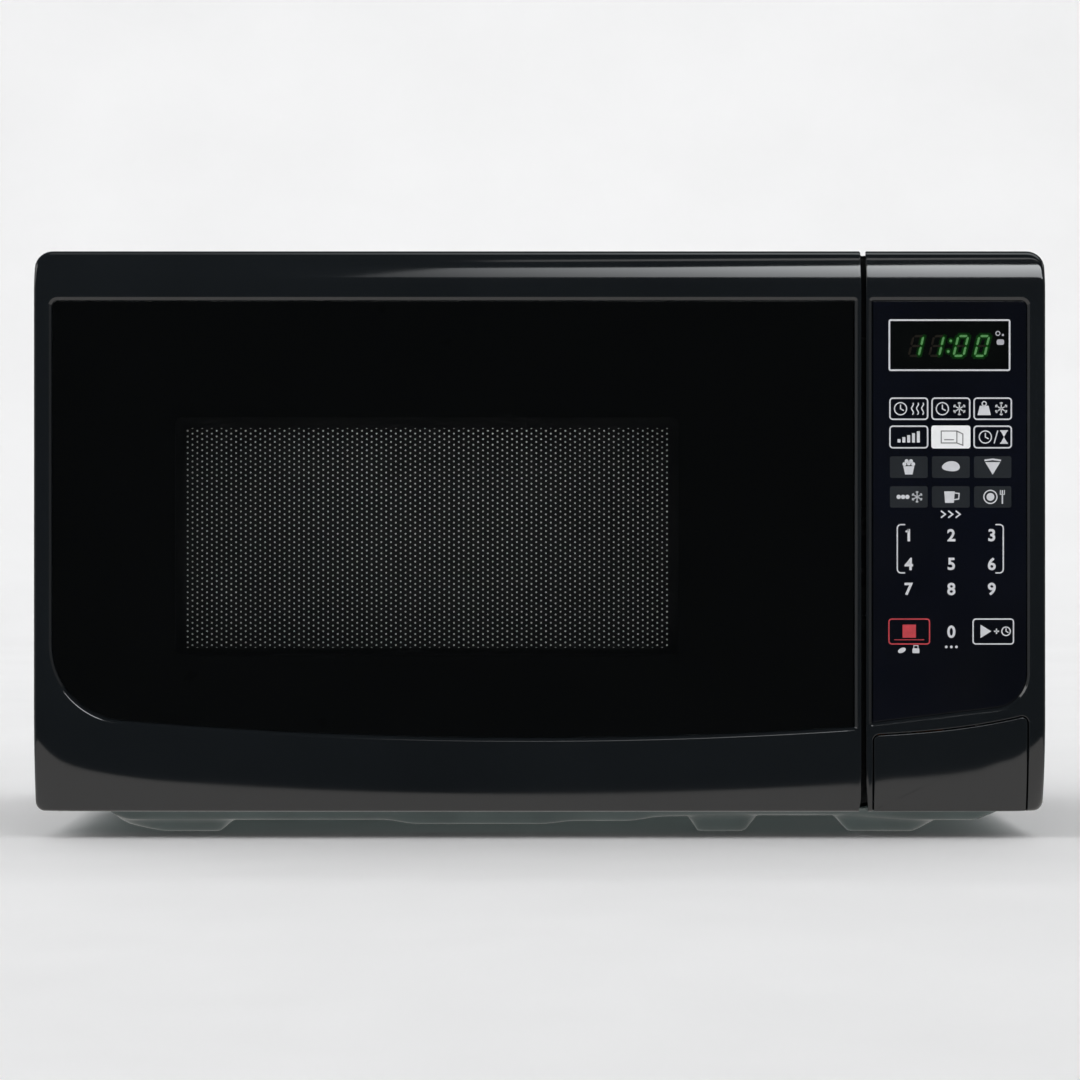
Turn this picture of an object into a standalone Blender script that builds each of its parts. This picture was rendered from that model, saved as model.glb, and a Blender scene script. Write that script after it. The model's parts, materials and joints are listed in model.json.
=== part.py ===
"""Compact countertop microwave oven, one object per physical piece.

The scene is in metres, +Z up. Sizes and places below are in millimetres, and MM turns them into metres.
The oven looks towards -Y, +X is to its right, and the origin is on the ground under its centre.
Heights are counted from a plane FOOT_DROP above the ground, and the last step stands the oven on its feet.
"""

import math

import bmesh
import bpy
from mathutils import Matrix, Vector

MM = 0.001

# The whole oven
WIDTH, DEPTH = 440.0, 330.0
LEFT, RIGHT = -WIDTH / 2, WIDTH / 2
FRONT, BACK = -DEPTH / 2, DEPTH / 2
TOP = 254.0  # of the wrapper
FOOT_DROP = 2.5
GAP = 0.3  # between pieces that touch
SHEET = 0.7  # steel sheet

# Door and control panel, side by side on the front
FACE_BOTTOM, FACE_TOP = 9.5, 253.3
DOOR_RIGHT, PANEL_LEFT = 139.9, 142.1
FACE_BACK = -131.5  # rear edge of both plastic bezels
WALL = 2.5  # side walls of the bezels
FACE_WALL = 4.0  # front walls of the bezels
TOP_CORNER = 7.4

# The window plate in the door, and the keypad that carries its outline on
GLASS_LEFT, GLASS_RIGHT = -213.0, 137.8
GLASS_TOP, GLASS_LOW = 232.0, 40.8
GLASS_ARC = 2100.0  # radius of the plate's lower edge
GLASS_ARC_X = -4.0  # where that edge is lowest
GLASS_FOOT = 34.0  # radius of its lower left corner
GLASS_RECESS = 2.4
KEYPAD_LEFT, KEYPAD_RIGHT = 143.8, 212.8
KEYPAD_THICK = 0.8

# Cabinet
SIDE = 218.0  # half the wrapper's width
PLATE_FRONT = -129.0  # front of the cavity's front plate
REAR_SHEET = 153.2  # inside of the back panel
BASE_TOP, BASE_PAN = 9.2, 2.6  # the base plate's rim and the underside of its pressed middle

SCREW_PLACES = [(-208, 20), (208, 20), (-208, 242), (208, 242)]  # X, Z
FEET = [  # X, Y, width, depth
    (-157, -108, 46, 20),
    (80, -108, 28, 20),
    (149, -108, 42, 20),
    (-157, 118, 46, 20),
    (149, 118, 42, 20),
]

# Cavity, inside measures
CAVITY_X = (-200.0, 106.0)
CAVITY_Z = (33.0, 235.0)
CAVITY_BACK = 150.0

# Turntable
TURN_X, TURN_Y = -47.0, 11.0
TRAY_RADIUS = 122.5
ROLLER_TRACK, ROLLER_RADIUS, ROLLER_WIDTH = 90.0, 7.0, 6.0
ROLLER_Z = CAVITY_Z[0] + GAP + ROLLER_RADIUS
TRAY_Z = ROLLER_Z + ROLLER_RADIUS + GAP

# Door hinge, close to the door's rear left edge
PIVOT_X, PIVOT_Y = -213.0, -137.4
PIN_RADIUS, PIN_HOLE = 2.0, 2.5
UPPER_TONGUE, LOWER_TONGUE = (246.0, 247.5), (15.5, 17.0)

# Latch
HOOK_X = (126.0, 130.0)
HOOK_TIP = -104.0
HOOK_LOW, HOOK_HIGH = 66.0, 176.0  # undersides of the two hook arms
HOOK_ARM, HOOK_BARB = 10.0, 6.0

# Open button and release lever
BUTTON_X = (145.4, 212.3)
BUTTON_PIVOT = (-159.5, 13.5)  # Y, Z
LEVER_PIVOT = (-124.0, 58.0)  # Y, Z

# Component bay, to the right of the cavity
BAY_LEFT = 107.3
FAN_X, FAN_Z, FAN_RADIUS = 162.0, 150.0, 44.0
LAMP_Y, LAMP_Z = -67.0, 200.0

COLOURS = {  # base colour, roughness, metallic
    "gloss black": ((0.012, 0.013, 0.014), 0.12, 0.0),
    "window black": ((0.004, 0.004, 0.005), 0.06, 0.0),
    "keypad navy": ((0.006, 0.008, 0.018), 0.25, 0.0),
    "lens": ((0.010, 0.018, 0.012), 0.05, 0.0),
    "painted black": ((0.015, 0.015, 0.016), 0.45, 0.0),
    "zinc": ((0.26, 0.33, 0.33), 0.45, 1.0),
    "enamel": ((0.62, 0.63, 0.62), 0.35, 0.0),
    "steel": ((0.55, 0.56, 0.58), 0.35, 1.0),
    "aluminium": ((0.75, 0.75, 0.76), 0.35, 1.0),
    "mica": ((0.50, 0.42, 0.30), 0.60, 0.0),
    "black plastic": ((0.020, 0.020, 0.022), 0.45, 0.0),
    "white plastic": ((0.75, 0.74, 0.70), 0.45, 0.0),
    "clear": ((0.80, 0.86, 0.84), 0.05, 0.0),
    "core": ((0.10, 0.10, 0.11), 0.60, 0.6),
    "enamelled copper": ((0.45, 0.16, 0.07), 0.40, 0.7),
    "board green": ((0.03, 0.16, 0.07), 0.50, 0.0),
}


# ---------------------------------------------------------------- tools


def start():
    """Empty the scene and make the two collections."""
    for old in list(bpy.data.objects):
        bpy.data.objects.remove(old, do_unlink=True)
    made = []
    for name in ("microwave_oven", "cutters"):
        collection = bpy.data.collections.new(name)
        bpy.context.scene.collection.children.link(collection)
        made.append(collection)
    return made


PIECES, CUTTERS = start()


def move_to(collection, thing):
    for old in list(thing.users_collection):
        old.objects.unlink(thing)
    collection.objects.link(thing)


def paint(piece, colour):
    """Give the piece a material of its own."""
    base, roughness, metallic = COLOURS[colour]
    material = bpy.data.materials.new(piece.name)
    material.use_nodes = True
    shader = material.node_tree.nodes["Principled BSDF"]
    shader.inputs["Base Color"].default_value = (*base, 1.0)
    shader.inputs["Roughness"].default_value = roughness
    shader.inputs["Metallic"].default_value = metallic
    material.diffuse_color = (*base, 1.0)
    piece.data.materials.clear()
    piece.data.materials.append(material)
    return piece


def box(name, x, y, z):
    """A box from its lowest and highest coordinate on each axis."""
    bpy.ops.mesh.primitive_cube_add(size=1.0)
    piece = bpy.context.object
    piece.name = name
    size = [(high - low) * MM for low, high in (x, y, z)]
    piece.data.transform(Matrix.Diagonal((*size, 1.0)))
    piece.location = [(high + low) / 2 * MM for low, high in (x, y, z)]
    move_to(PIECES, piece)
    return piece


TURNS = {
    "X": (0.0, math.pi / 2, 0.0),
    "Y": (-math.pi / 2, 0.0, 0.0),
    "Z": (0.0, 0.0, 0.0),
}


def cylinder(name, centre, radius, length, axis="Z", sides=24):
    bpy.ops.mesh.primitive_cylinder_add(vertices=sides, radius=radius * MM, depth=length * MM)
    piece = bpy.context.object
    piece.name = name
    piece.data.shade_smooth()
    piece.data.set_sharp_from_angle(angle=math.radians(40))
    piece.location = Vector(centre) * MM
    piece.rotation_euler = TURNS[axis]
    move_to(PIECES, piece)
    return piece


def turned(name, profile, centre, axis="Z", steps=32):
    """A turned solid from (radius, height) points that run down its outer side.

    A profile that starts and ends on the axis is a solid one. A profile that returns to its first
    point is a ring.
    """
    mesh = bpy.data.meshes.new(name)
    points = [(radius * MM, 0.0, height * MM) for radius, height in profile]
    ring = points[0] == points[-1]
    if ring:
        points.pop()
    edges = [(i, i + 1) for i in range(len(points) - 1)]
    if ring:
        edges.append((len(points) - 1, 0))
    mesh.from_pydata(points, edges, [])
    piece = bpy.data.objects.new(name, mesh)
    PIECES.objects.link(piece)
    screw = piece.modifiers.new("turned", "SCREW")
    screw.steps = screw.render_steps = steps
    screw.use_merge_vertices = True
    screw.merge_threshold = 0.00001
    piece.location = Vector(centre) * MM
    piece.rotation_euler = TURNS[axis]
    return piece


def slab(name, outline, y):
    """A flat piece in the X-Z plane, from its outline and its two Y coordinates."""
    curve = bpy.data.curves.new(name, "CURVE")
    curve.dimensions = "2D"
    curve.fill_mode = "BOTH"
    curve.extrude = (y[1] - y[0]) / 2 * MM
    spline = curve.splines.new("POLY")
    spline.points.add(len(outline) - 1)
    for point, (across, up) in zip(spline.points, outline):
        point.co = (across * MM, up * MM, 0.0, 1.0)
    spline.use_cyclic_u = True
    drawn = bpy.data.objects.new(name + "_outline", curve)
    PIECES.objects.link(drawn)
    drawn.location = (0.0, (y[0] + y[1]) / 2 * MM, 0.0)
    drawn.rotation_euler = (math.pi / 2, 0.0, 0.0)
    bpy.context.view_layer.update()
    depsgraph = bpy.context.evaluated_depsgraph_get()
    mesh = bpy.data.meshes.new_from_object(drawn.evaluated_get(depsgraph))
    weld(mesh)
    piece = bpy.data.objects.new(name, mesh)
    piece.matrix_world = drawn.matrix_world.copy()
    PIECES.objects.link(piece)
    bpy.data.objects.remove(drawn, do_unlink=True)
    return piece


def weld(mesh):
    """Join the loose caps that a curve's mesh has."""
    edit = bmesh.new()
    edit.from_mesh(mesh)
    bmesh.ops.remove_doubles(edit, verts=edit.verts, dist=0.00001)
    bmesh.ops.recalc_face_normals(edit, faces=edit.faces)
    edit.to_mesh(mesh)
    edit.free()


def helper(piece, other):
    """Hide a cutter or a joined shape, and let it follow its piece."""
    other.display_type = "WIRE"
    other.hide_render = True
    move_to(CUTTERS, other)
    bpy.context.view_layer.update()
    other.parent = piece
    other.matrix_parent_inverse = piece.matrix_world.inverted()


def boolean(piece, other, operation):
    helper(piece, other)
    modifier = piece.modifiers.new(other.name, "BOOLEAN")
    modifier.operation = operation
    modifier.solver = "EXACT"
    modifier.object = other
    return piece


def cut(piece, *others):
    for other in others:
        boolean(piece, other, "DIFFERENCE")
    return piece


def fuse(piece, *others):
    for other in others:
        boolean(piece, other, "UNION")
    return piece


def round_edges(piece, radius, chosen, segments=3):
    """Bevel the edges for which chosen(middle in millimetres, direction) is true."""
    mesh = piece.data
    weights = mesh.attributes.new("bevel_weight_edge", "FLOAT", "EDGE")
    for edge in mesh.edges:
        first, last = (piece.location + mesh.vertices[i].co for i in edge.vertices)
        middle = (first + last) / 2 / MM
        weights.data[edge.index].value = 1.0 if chosen(middle, (last - first).normalized()) else 0.0
    bevel = piece.modifiers.new("rounded", "BEVEL")
    bevel.limit_method = "WEIGHT"
    bevel.width = radius * MM
    bevel.segments = segments
    bevel.use_clamp_overlap = False
    return piece


def along(axis):
    """The test that picks every edge parallel to an axis."""
    return lambda middle, direction: abs(direction["XYZ".index(axis)]) > 0.9


def top_corners(middle, direction):
    """The test that picks the upper edges that run from front to back."""
    return abs(direction.y) > 0.9 and middle.z > TOP / 2


def repeated(cutter, count, step):
    """Repeat a cutter along the step, in millimetres."""
    array = cutter.modifiers.new("row", "ARRAY")
    array.count = count
    array.use_relative_offset = False
    array.use_constant_offset = True
    array.constant_offset_displace = Vector(step) * MM
    return cutter


def arc(centre, radius, first, last, count):
    """Points on an arc, with angles in degrees."""
    steps = [math.radians(first + (last - first) * i / count) for i in range(count + 1)]
    return [(centre[0] + radius * math.cos(a), centre[1] + radius * math.sin(a)) for a in steps]


def hang(name, place, *pieces):
    """Put an empty on a joint's axis and parent the moving pieces to it."""
    empty = bpy.data.objects.new(name, None)
    empty.empty_display_size = 0.02
    empty.location = Vector(place) * MM
    PIECES.objects.link(empty)
    bpy.context.view_layer.update()
    for piece in pieces:
        piece.parent = empty
        piece.matrix_parent_inverse = empty.matrix_world.inverted()
    return empty


# ---------------------------------------------------------------- outlines


def lower_edge(x):
    """Height of the window plate's curved lower edge at x."""
    reach = x - GLASS_ARC_X
    return GLASS_LOW + GLASS_ARC - math.sqrt(GLASS_ARC**2 - reach**2)


def window_outline(grow):
    """The window plate's outline, moved outwards by grow."""
    left, right, top = GLASS_LEFT - grow, GLASS_RIGHT + grow, GLASS_TOP + grow
    corner, foot = 3.5, GLASS_FOOT + grow
    foot_x = left + foot
    foot_z = lower_edge(foot_x) - grow + foot
    points = [(right, top)]
    points += arc((left + corner, top - corner), corner, 90, 180, 4)
    points += arc((foot_x, foot_z), foot, 180, 268, 10)
    first, last, count = foot_x + 6.0, right, 12
    for i in range(count + 1):
        x = first + (last - first) * i / count
        points.append((x, lower_edge(x) - grow))
    return points


def keypad_outline(grow):
    """The keypad's outline: the window's arc goes on across it and turns up at the right."""
    left, right, top = KEYPAD_LEFT - grow, KEYPAD_RIGHT + grow, GLASS_TOP + grow
    corner, foot = 3.5, 16.0 + grow
    foot_x = right - foot
    foot_z = lower_edge(foot_x) + 2.0 - grow + foot
    points = arc((right - corner, top - corner), corner, 0, 90, 4)
    points.append((left, top))
    points.append((left, lower_edge(left) - grow + 1.0))
    points += arc((foot_x, foot_z), foot, 276, 360, 6)
    return points


# ---------------------------------------------------------------- cabinet


def outer_wrapper():
    """The U of painted sheet over the top and both sides, with cooling slots."""
    low, front, back = 7.6, -128.8, 154.8
    shell = box("outer_wrapper", (-SIDE, SIDE), (front, back), (low, TOP))
    round_edges(shell, 6.0, top_corners)
    inner = SIDE - SHEET
    inside = box("wrapper_inside", (-inner, inner), (front - 5, back + 5), (low - 5, TOP - SHEET))
    round_edges(inside, 6.0 - SHEET, top_corners)
    cut(shell, inside)
    right = box("right_slots", (SIDE - 4, SIDE + 4), (-92, -70), (40, 43))
    left = box("left_slots", (-SIDE - 4, -SIDE + 4), (60, 82), (190, 193))
    cut(shell, repeated(right, 8, (0, 0, 8)), repeated(left, 6, (0, 0, 8)))
    return paint(shell, "painted black")


def back_panel():
    """The rear sheet: a pressed-out field keeps the oven off the wall."""
    edge = SIDE - SHEET - 0.5
    panel = box("back_panel", (-edge, edge), (REAR_SHEET, REAR_SHEET + SHEET), (10.5, TOP - SHEET - 0.6))
    round_edges(panel, 5.0, top_corners)
    field = box("rear_field", (-160, 70), (REAR_SHEET + 0.2, BACK), (50, 225))
    round_edges(field, 4.0, lambda m, d: m.y > BACK - 2)
    inset = SHEET + 0.2
    hollow_x, hollow_z = (-160 + inset, 70 - inset), (50 + inset, 225 - inset)
    hollow = box("rear_hollow", hollow_x, (REAR_SHEET - 5, BACK - SHEET), hollow_z)
    round_edges(hollow, 4.0 - inset, lambda m, d: m.y > BACK - 3)
    fan_slots = box("fan_slots", (FAN_X - 38, FAN_X + 38), (REAR_SHEET - 5, REAR_SHEET + 5), (115, 119))
    vents = box("vent_slots", (-196, -172), (REAR_SHEET - 5, REAR_SHEET + 5), (170, 173))
    gland = cylinder("gland_hole", (196, REAR_SHEET, 34), 8.4, 10, "Y")
    fuse(panel, field)
    cut(panel, hollow, repeated(fan_slots, 8, (0, 0, 9)), repeated(vents, 6, (0, 0, 8)), gland)
    for x, z in SCREW_PLACES:
        cut(panel, cylinder("screw_hole", (x, REAR_SHEET, z), 2.3, 10, "Y", 12))
    return paint(panel, "zinc")


def rear_screws():
    """Four screws through the back panel."""
    outer = REAR_SHEET + SHEET + GAP
    for number, (x, z) in enumerate(SCREW_PLACES, 1):
        head = cylinder(f"rear_screw_{number}", (x, outer + 1.1, z), 4.0, 2.2, "Y", 12)
        fuse(head, cylinder("shank", (x, outer - 3.5, z), 1.8, 8, "Y", 8))
        paint(head, "steel")


def base_plate():
    """The galvanised bottom, pressed down in the middle and again at each foot."""
    edge, front, back = SIDE - SHEET - 0.5, -127.4, 152.6
    rim = box("base_plate", (-edge, edge), (front, back), (BASE_TOP - SHEET, BASE_TOP))
    pan = box("base_pan", (-186, 200), (front + 4, back - 8), (BASE_PAN, BASE_TOP - 0.1))
    round_edges(pan, 6.0, along("Z"))
    fuse(rim, pan)
    for x, y, wide, deep in FEET:
        across, along_y = (x - wide / 2, x + wide / 2), (y - deep / 2, y + deep / 2)
        foot = box("foot", across, along_y, (-FOOT_DROP, BASE_PAN + SHEET / 2))
        round_edges(foot, 5.0, along("Z"))
        fuse(rim, foot)
    inset = SHEET + 0.2
    pan_y = (front + 4 + inset, back - 8 - inset)
    inside = box("pan_inside", (-186 + inset, 200 - inset), pan_y, (BASE_PAN + SHEET, BASE_TOP + 2))
    round_edges(inside, 5.0, along("Z"))
    cut(rim, inside)
    for x, y, wide, deep in FEET:
        across = (x - wide / 2 + inset, x + wide / 2 - inset)
        along_y = (y - deep / 2 + inset, y + deep / 2 - inset)
        hollow = box("foot_inside", across, along_y, (-FOOT_DROP + SHEET, BASE_TOP))
        round_edges(hollow, 4.0, along("Z"))
        cut(rim, hollow)
    return paint(rim, "zinc")


def front_plate():
    """The steel plate that the cavity opens through, with the latch and hinge slots."""
    edge = SIDE - SHEET - 0.5
    y = (PLATE_FRONT, PLATE_FRONT + SHEET)
    through = (PLATE_FRONT - 5, PLATE_FRONT + 5)
    plate = box("front_plate", (-edge, edge), y, (11, TOP - SHEET - 0.6))
    round_edges(plate, 5.0, top_corners)
    cut(plate, box("cavity_mouth", CAVITY_X, through, CAVITY_Z))
    cut(plate, box("panel_mouth", (148, 212), through, (22, 244)))
    for low in (HOOK_LOW, HOOK_HIGH):
        cut(plate, box("hook_slot", (122, 135), through, (low - HOOK_BARB - 3, low + HOOK_ARM + 6)))
    for low, high in (UPPER_TONGUE, LOWER_TONGUE):
        cut(plate, box("tongue_slot", (-216.2, -207.8), through, (low - 0.6, high + 0.6)))
    return paint(plate, "enamel")


def oven_cavity():
    """The welded box that food goes in, open at the front."""
    (left, right), (low, high) = CAVITY_X, CAVITY_Z
    front = PLATE_FRONT + SHEET + GAP
    outer_z = (low - SHEET, high + SHEET)
    shell = box("oven_cavity", (left - SHEET, right + SHEET), (front, CAVITY_BACK + SHEET), outer_z)
    cut(shell, box("cavity_room", (left, right), (front - 5, CAVITY_BACK), (low, high)))
    cut(shell, cylinder("shaft_hole", (TURN_X, TURN_Y, low), 7.0, 10))
    cut(shell, box("feed_hole", (right - 5, right + 5), (15, 85), (115, 175)))
    cut(shell, cylinder("lamp_hole", (right, LAMP_Y, LAMP_Z), 9.0, 10, "X"))
    exhaust = box("exhaust_slots", (left - 5, left + 5), (60, 82), (190, 193))
    cut(shell, repeated(exhaust, 4, (0, 0, 8)))
    return paint(shell, "enamel")


def microwave_path():
    """Magnetron, the duct that it feeds, and the mica sheet over the feed hole."""
    right = CAVITY_X[1]
    cover = box("waveguide_cover", (right - GAP - 0.5, right - GAP), (8, 92), (106, 184))
    paint(cover, "mica")

    duct = box("waveguide_duct", (BAY_LEFT, 131), (12, 95), (105, 215))
    cut(duct, box("duct_room", (BAY_LEFT - 5, 130), (13, 94), (106, 214)))
    cut(duct, cylinder("antenna_hole", (131, 50, 190), 11, 10, "X"))
    paint(duct, "steel")

    yoke = box("magnetron_yoke", (131.3, 192), (12, 88), (150, 228))
    cut(yoke, box("air_way", (133, 190.5), (5, 95), (151.5, 226.5)))
    cut(yoke, cylinder("tube_hole", (131, 50, 190), 11, 10, "X"))
    paint(yoke, "steel")

    tube = cylinder("magnetron_tube", (161.5, 50, 190), 19, 56.4, "X")
    fuse(tube, cylinder("antenna", (126, 50, 190), 7.5, 20, "X", 16))
    for i in range(5):
        x = 142 + i * 9.5
        fuse(tube, box("fin", (x, x + 1), (14, 86), (153, 225)))
    paint(tube, "aluminium")


def high_voltage():
    """Transformer, capacitor and diode on the base plate."""
    floor = BASE_PAN + SHEET + GAP
    limb_x, limb_y, limb_z = (148, 168), (-70, -5), (25, 57)
    core = box("transformer_core", (118, 198), limb_y, (floor, 71))
    cut(core, box("left_window", (132, limb_x[0]), (-80, 5), limb_z))
    cut(core, box("right_window", (limb_x[1], 184), (-80, 5), limb_z))
    paint(core, "core")
    for name, z in (("primary_winding", (25.4, 40.6)), ("secondary_winding", (41.2, 56.6))):
        coil = box(name, (132.4, 183.6), (-84, 9), z)
        round_edges(coil, 8.0, along("Z"))
        room = [(low - GAP, high + GAP) for low, high in (limb_x, limb_y)]
        limb = box("limb_room", *room, (20, 62))
        paint(cut(coil, limb), "enamelled copper")

    can = box("hv_capacitor", (120, 148), (22, 112), (floor + 1.4, 58))
    round_edges(can, 12.0, along("Y"), 4)
    paint(can, "aluminium")
    band = box("capacitor_clamp", (118.6, 149.4), (60, 74), (floor, 59.4))
    round_edges(band, 13.0, along("Y"), 4)
    inside = box("band_inside", (119.7, 148.3), (50, 84), (floor + 1.1, 58.3))
    round_edges(inside, 12.2, along("Y"), 4)
    paint(cut(band, inside), "steel")
    paint(cylinder("hv_diode", (170, 60, floor + 6), 3.2, 26, "Y", 12), "black plastic")


def cooling():
    """Fan motor and shroud at the back, and the duct that sends the air on into the cavity."""
    rim_y = (126.6, 129.2)
    shroud = box("fan_shroud", (111, 213), rim_y, (98, 202))
    ring = cylinder("shroud_ring", (FAN_X, 138.5, FAN_Z), FAN_RADIUS + 4.5, 21, "Y", 32)
    fuse(shroud, ring)
    cut(shroud, cylinder("shroud_mouth", (FAN_X, 135, FAN_Z), FAN_RADIUS + 2.5, 50, "Y", 32))
    paint(shroud, "black plastic")

    motor = box("fan_motor", (FAN_X - 22, FAN_X + 22), (100, 120), (FAN_Z - 24, FAN_Z + 24))
    round_edges(motor, 5.0, along("Y"))
    fuse(motor, box("motor_arms", (111, 213), (119.5, 122), (FAN_Z - 5, FAN_Z + 5)))
    for x in (113, 207):
        fuse(motor, box("motor_leg", (x, x + 4), (121.5, rim_y[0] - GAP), (FAN_Z - 5, FAN_Z + 5)))
    paint(motor, "steel")

    blade = cylinder("fan_blade", (FAN_X, 139, FAN_Z), 11, 12, "Y")
    fuse(blade, cylinder("fan_shaft", (FAN_X, 129, FAN_Z), 2, 13.2, "Y", 12))
    for i in range(5):
        angle = 2 * math.pi * i / 5
        vane = box("vane", (-0.8, 0.8), (-7, 7), (9, FAN_RADIUS - 0.6))
        vane.data.transform(Matrix.Translation(vane.location))
        vane.data.transform(Matrix.Rotation(math.radians(55), 4, "Z"))
        vane.location = Vector((FAN_X, 139, FAN_Z)) * MM
        vane.rotation_euler = (0.0, angle, 0.0)
        fuse(blade, vane)
    paint(blade, "white plastic")
    hang("fan_axis", (FAN_X, 139, FAN_Z), blade)

    duct = box("air_duct", (109, 196), (-54, 11.4), (150, 228))
    cut(duct, box("duct_inside", (110.5, 194.5), (-52.5, 20), (151.5, 226.5)))
    cut(duct, box("duct_outlet", (105, 112), (-46, -10), (165, 215)))
    paint(duct, "black plastic")


def lamp():
    """The cavity lamp behind its hole in the right wall."""
    shape = [(0, 0), (4, -1), (7, -4), (8, -8), (7, -12), (5, -16), (5, -22), (0, -22)]
    bulb = turned("oven_lamp", shape, (110, LAMP_Y, LAMP_Z), "X", 16)
    bulb.rotation_euler = (0.0, -math.pi / 2, 0.0)
    paint(bulb, "clear")
    socket = cylinder("lamp_socket", (138, LAMP_Y, LAMP_Z), 9, 22, "X", 20)
    cut(socket, cylinder("socket_bore", (130, LAMP_Y, LAMP_Z), 6, 16, "X", 20))
    paint(socket, "white plastic")


def supply():
    """Noise filter with its fuse, thermal cutout and the gland that the cord leaves through."""
    board = box("noise_filter_board", (118, 205), (98, 120), (228, 229.6))
    paint(board, "board green")
    paint(cylinder("line_fuse", (160, 109, 229.9 + 3.2), 3.2, 32, "X", 12), "clear")
    top = CAVITY_Z[1] + SHEET + GAP
    paint(cylinder("thermal_cutout", (40, 30, top + 3), 8, 6, "Z", 16), "black plastic")

    outer, inner = SHEET + GAP, -GAP  # either side of the back panel
    shape = [(6.5, 7.5), (9.5, 5), (11, outer), (8, outer), (8, inner)]
    shape += [(10.5, inner), (9.5, -4), (3.6, -4), (3.6, 7.5), (6.5, 7.5)]
    paint(turned("cord_gland", shape, (196, REAR_SHEET, 34), "Y", 24), "black plastic")


def turntable():
    """Motor, coupler, roller ring with its rollers, and the glass tray."""
    low = CAVITY_Z[0]
    motor = cylinder("turntable_motor", (TURN_X, TURN_Y, 22), 24.5, 19, "Z", 32)
    paint(motor, "zinc")

    head = (40.0, TRAY_Z - GAP)
    coupler = cylinder("turntable_coupler", (TURN_X, TURN_Y, sum(head) / 2), 8, head[1] - head[0], "Z", 20)
    fuse(coupler, cylinder("stem", (TURN_X, TURN_Y, (31.9 + 42) / 2), 4, 42 - 31.9, "Z", 16))
    for i in range(3):
        lobe = box("lobe", (4, 15), (-4, 4), head)
        lobe.data.transform(Matrix.Translation((lobe.location.x, 0, 0)))
        lobe.location = (TURN_X * MM, TURN_Y * MM, lobe.location.z)
        lobe.rotation_euler = (0.0, 0.0, 2 * math.pi * i / 3)
        fuse(coupler, lobe)
    paint(coupler, "white plastic")
    hang("turntable_axis", (TURN_X, TURN_Y, low), coupler)

    floor = 4.4
    shape = [(0, floor), (98, floor), (110, 7.5), (116, 13), (TRAY_RADIUS, 13), (TRAY_RADIUS, 11)]
    shape += [(117.5, 10), (112, 4), (103, 0), (0, 0)]
    tray = paint(turned("glass_tray", shape, (TURN_X, TURN_Y, TRAY_Z), "Z", 40), "clear")
    hang("tray_axis", (TURN_X, TURN_Y, TRAY_Z), tray)

    inner, outer, half = 74.0, 80.0, 2.6
    shape = [(outer, half), (outer, -half), (inner, -half), (inner, half), (outer, half)]
    ring = turned("roller_ring", shape, (TURN_X, TURN_Y, ROLLER_Z), "Z", 36)
    axle_end = ROLLER_TRACK + ROLLER_WIDTH / 2 + 4
    rollers = []
    for i in range(3):
        angle = math.pi / 2 + 2 * math.pi * i / 3
        out = Vector((math.cos(angle), math.sin(angle), 0.0))
        centre = Vector((TURN_X, TURN_Y, ROLLER_Z))
        axle = radial("axle", centre, out, (inner + 2, axle_end), 1.6, 12)
        button = radial("axle_end", centre, out, (axle_end - 2, axle_end), 3.0, 12)
        fuse(ring, axle, button)
        span = (ROLLER_TRACK - ROLLER_WIDTH / 2, ROLLER_TRACK + ROLLER_WIDTH / 2)
        roller = radial(f"roller_{i + 1}", centre, out, span, ROLLER_RADIUS, 24)
        cut(roller, radial("roller_bore", centre, out, (span[0] - 2, span[1] + 2), 2.1, 12))
        rollers.append(paint(roller, "white plastic"))
    paint(ring, "white plastic")
    hang("ring_axis", (TURN_X, TURN_Y, ROLLER_Z), ring, *rollers)


def radial(name, centre, out, span, radius, sides):
    """A cylinder that lies along a radius of the turntable."""
    piece = cylinder(name, (0, 0, 0), radius, span[1] - span[0], "Z", sides)
    piece.location = (centre + out * sum(span) / 2) * MM
    piece.rotation_euler = out.to_track_quat("Z", "Y").to_euler()
    return piece


# ---------------------------------------------------------------- control panel


def control_panel():
    """The right-hand bezel with its keypad, display and board."""
    frame = box("control_panel_frame", (PANEL_LEFT, RIGHT), (FRONT, FACE_BACK), (FACE_BOTTOM, FACE_TOP))
    round_edges(frame, TOP_CORNER, lambda m, d: abs(d.y) > 0.9 and m.x > RIGHT - 5 and m.z > 200, 4)
    room_y, room_z = (FRONT + FACE_WALL, FACE_BACK + 5), (FACE_BOTTOM + WALL, FACE_TOP - WALL)
    cut(frame, box("panel_room", (PANEL_LEFT + WALL, RIGHT - WALL), room_y, room_z))
    cut(frame, slab("keypad_recess", keypad_outline(0.3), (FRONT - 5, FRONT + 0.5 + KEYPAD_THICK + GAP)))
    button_room = slab("button_room", button_outline(0.9), (FRONT - 5, -150))
    lens_room = box("lens_room", (151.5, 205.5), (FRONT - 5, FRONT + 6), (200.5, 225.5))
    cut(frame, button_room, lens_room)
    fuse(frame, box("button_lug", (BUTTON_X[1] + 0.9, RIGHT - 1), (FRONT + 2, -152), (FACE_BOTTOM, 20)))
    cut(frame, cylinder("button_bore", (180, *BUTTON_PIVOT), 2.5, 74, "X", 16))
    paint(frame, "gloss black")

    front = FRONT + 0.5
    membrane = slab("keypad_membrane", keypad_outline(0), (front, front + KEYPAD_THICK))
    paint(membrane, "keypad navy")
    lens = front + KEYPAD_THICK + GAP
    paint(box("display_window", (152, 205), (lens, lens + 2.2), (201, 225)), "lens")
    paint(box("display_module", (150, 208), (-159, -147.5), (199, 227)), "black plastic")
    paint(box("control_board", (146.5, 215.5), (-146, -144.4), (66, 246)), "board green")


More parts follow.
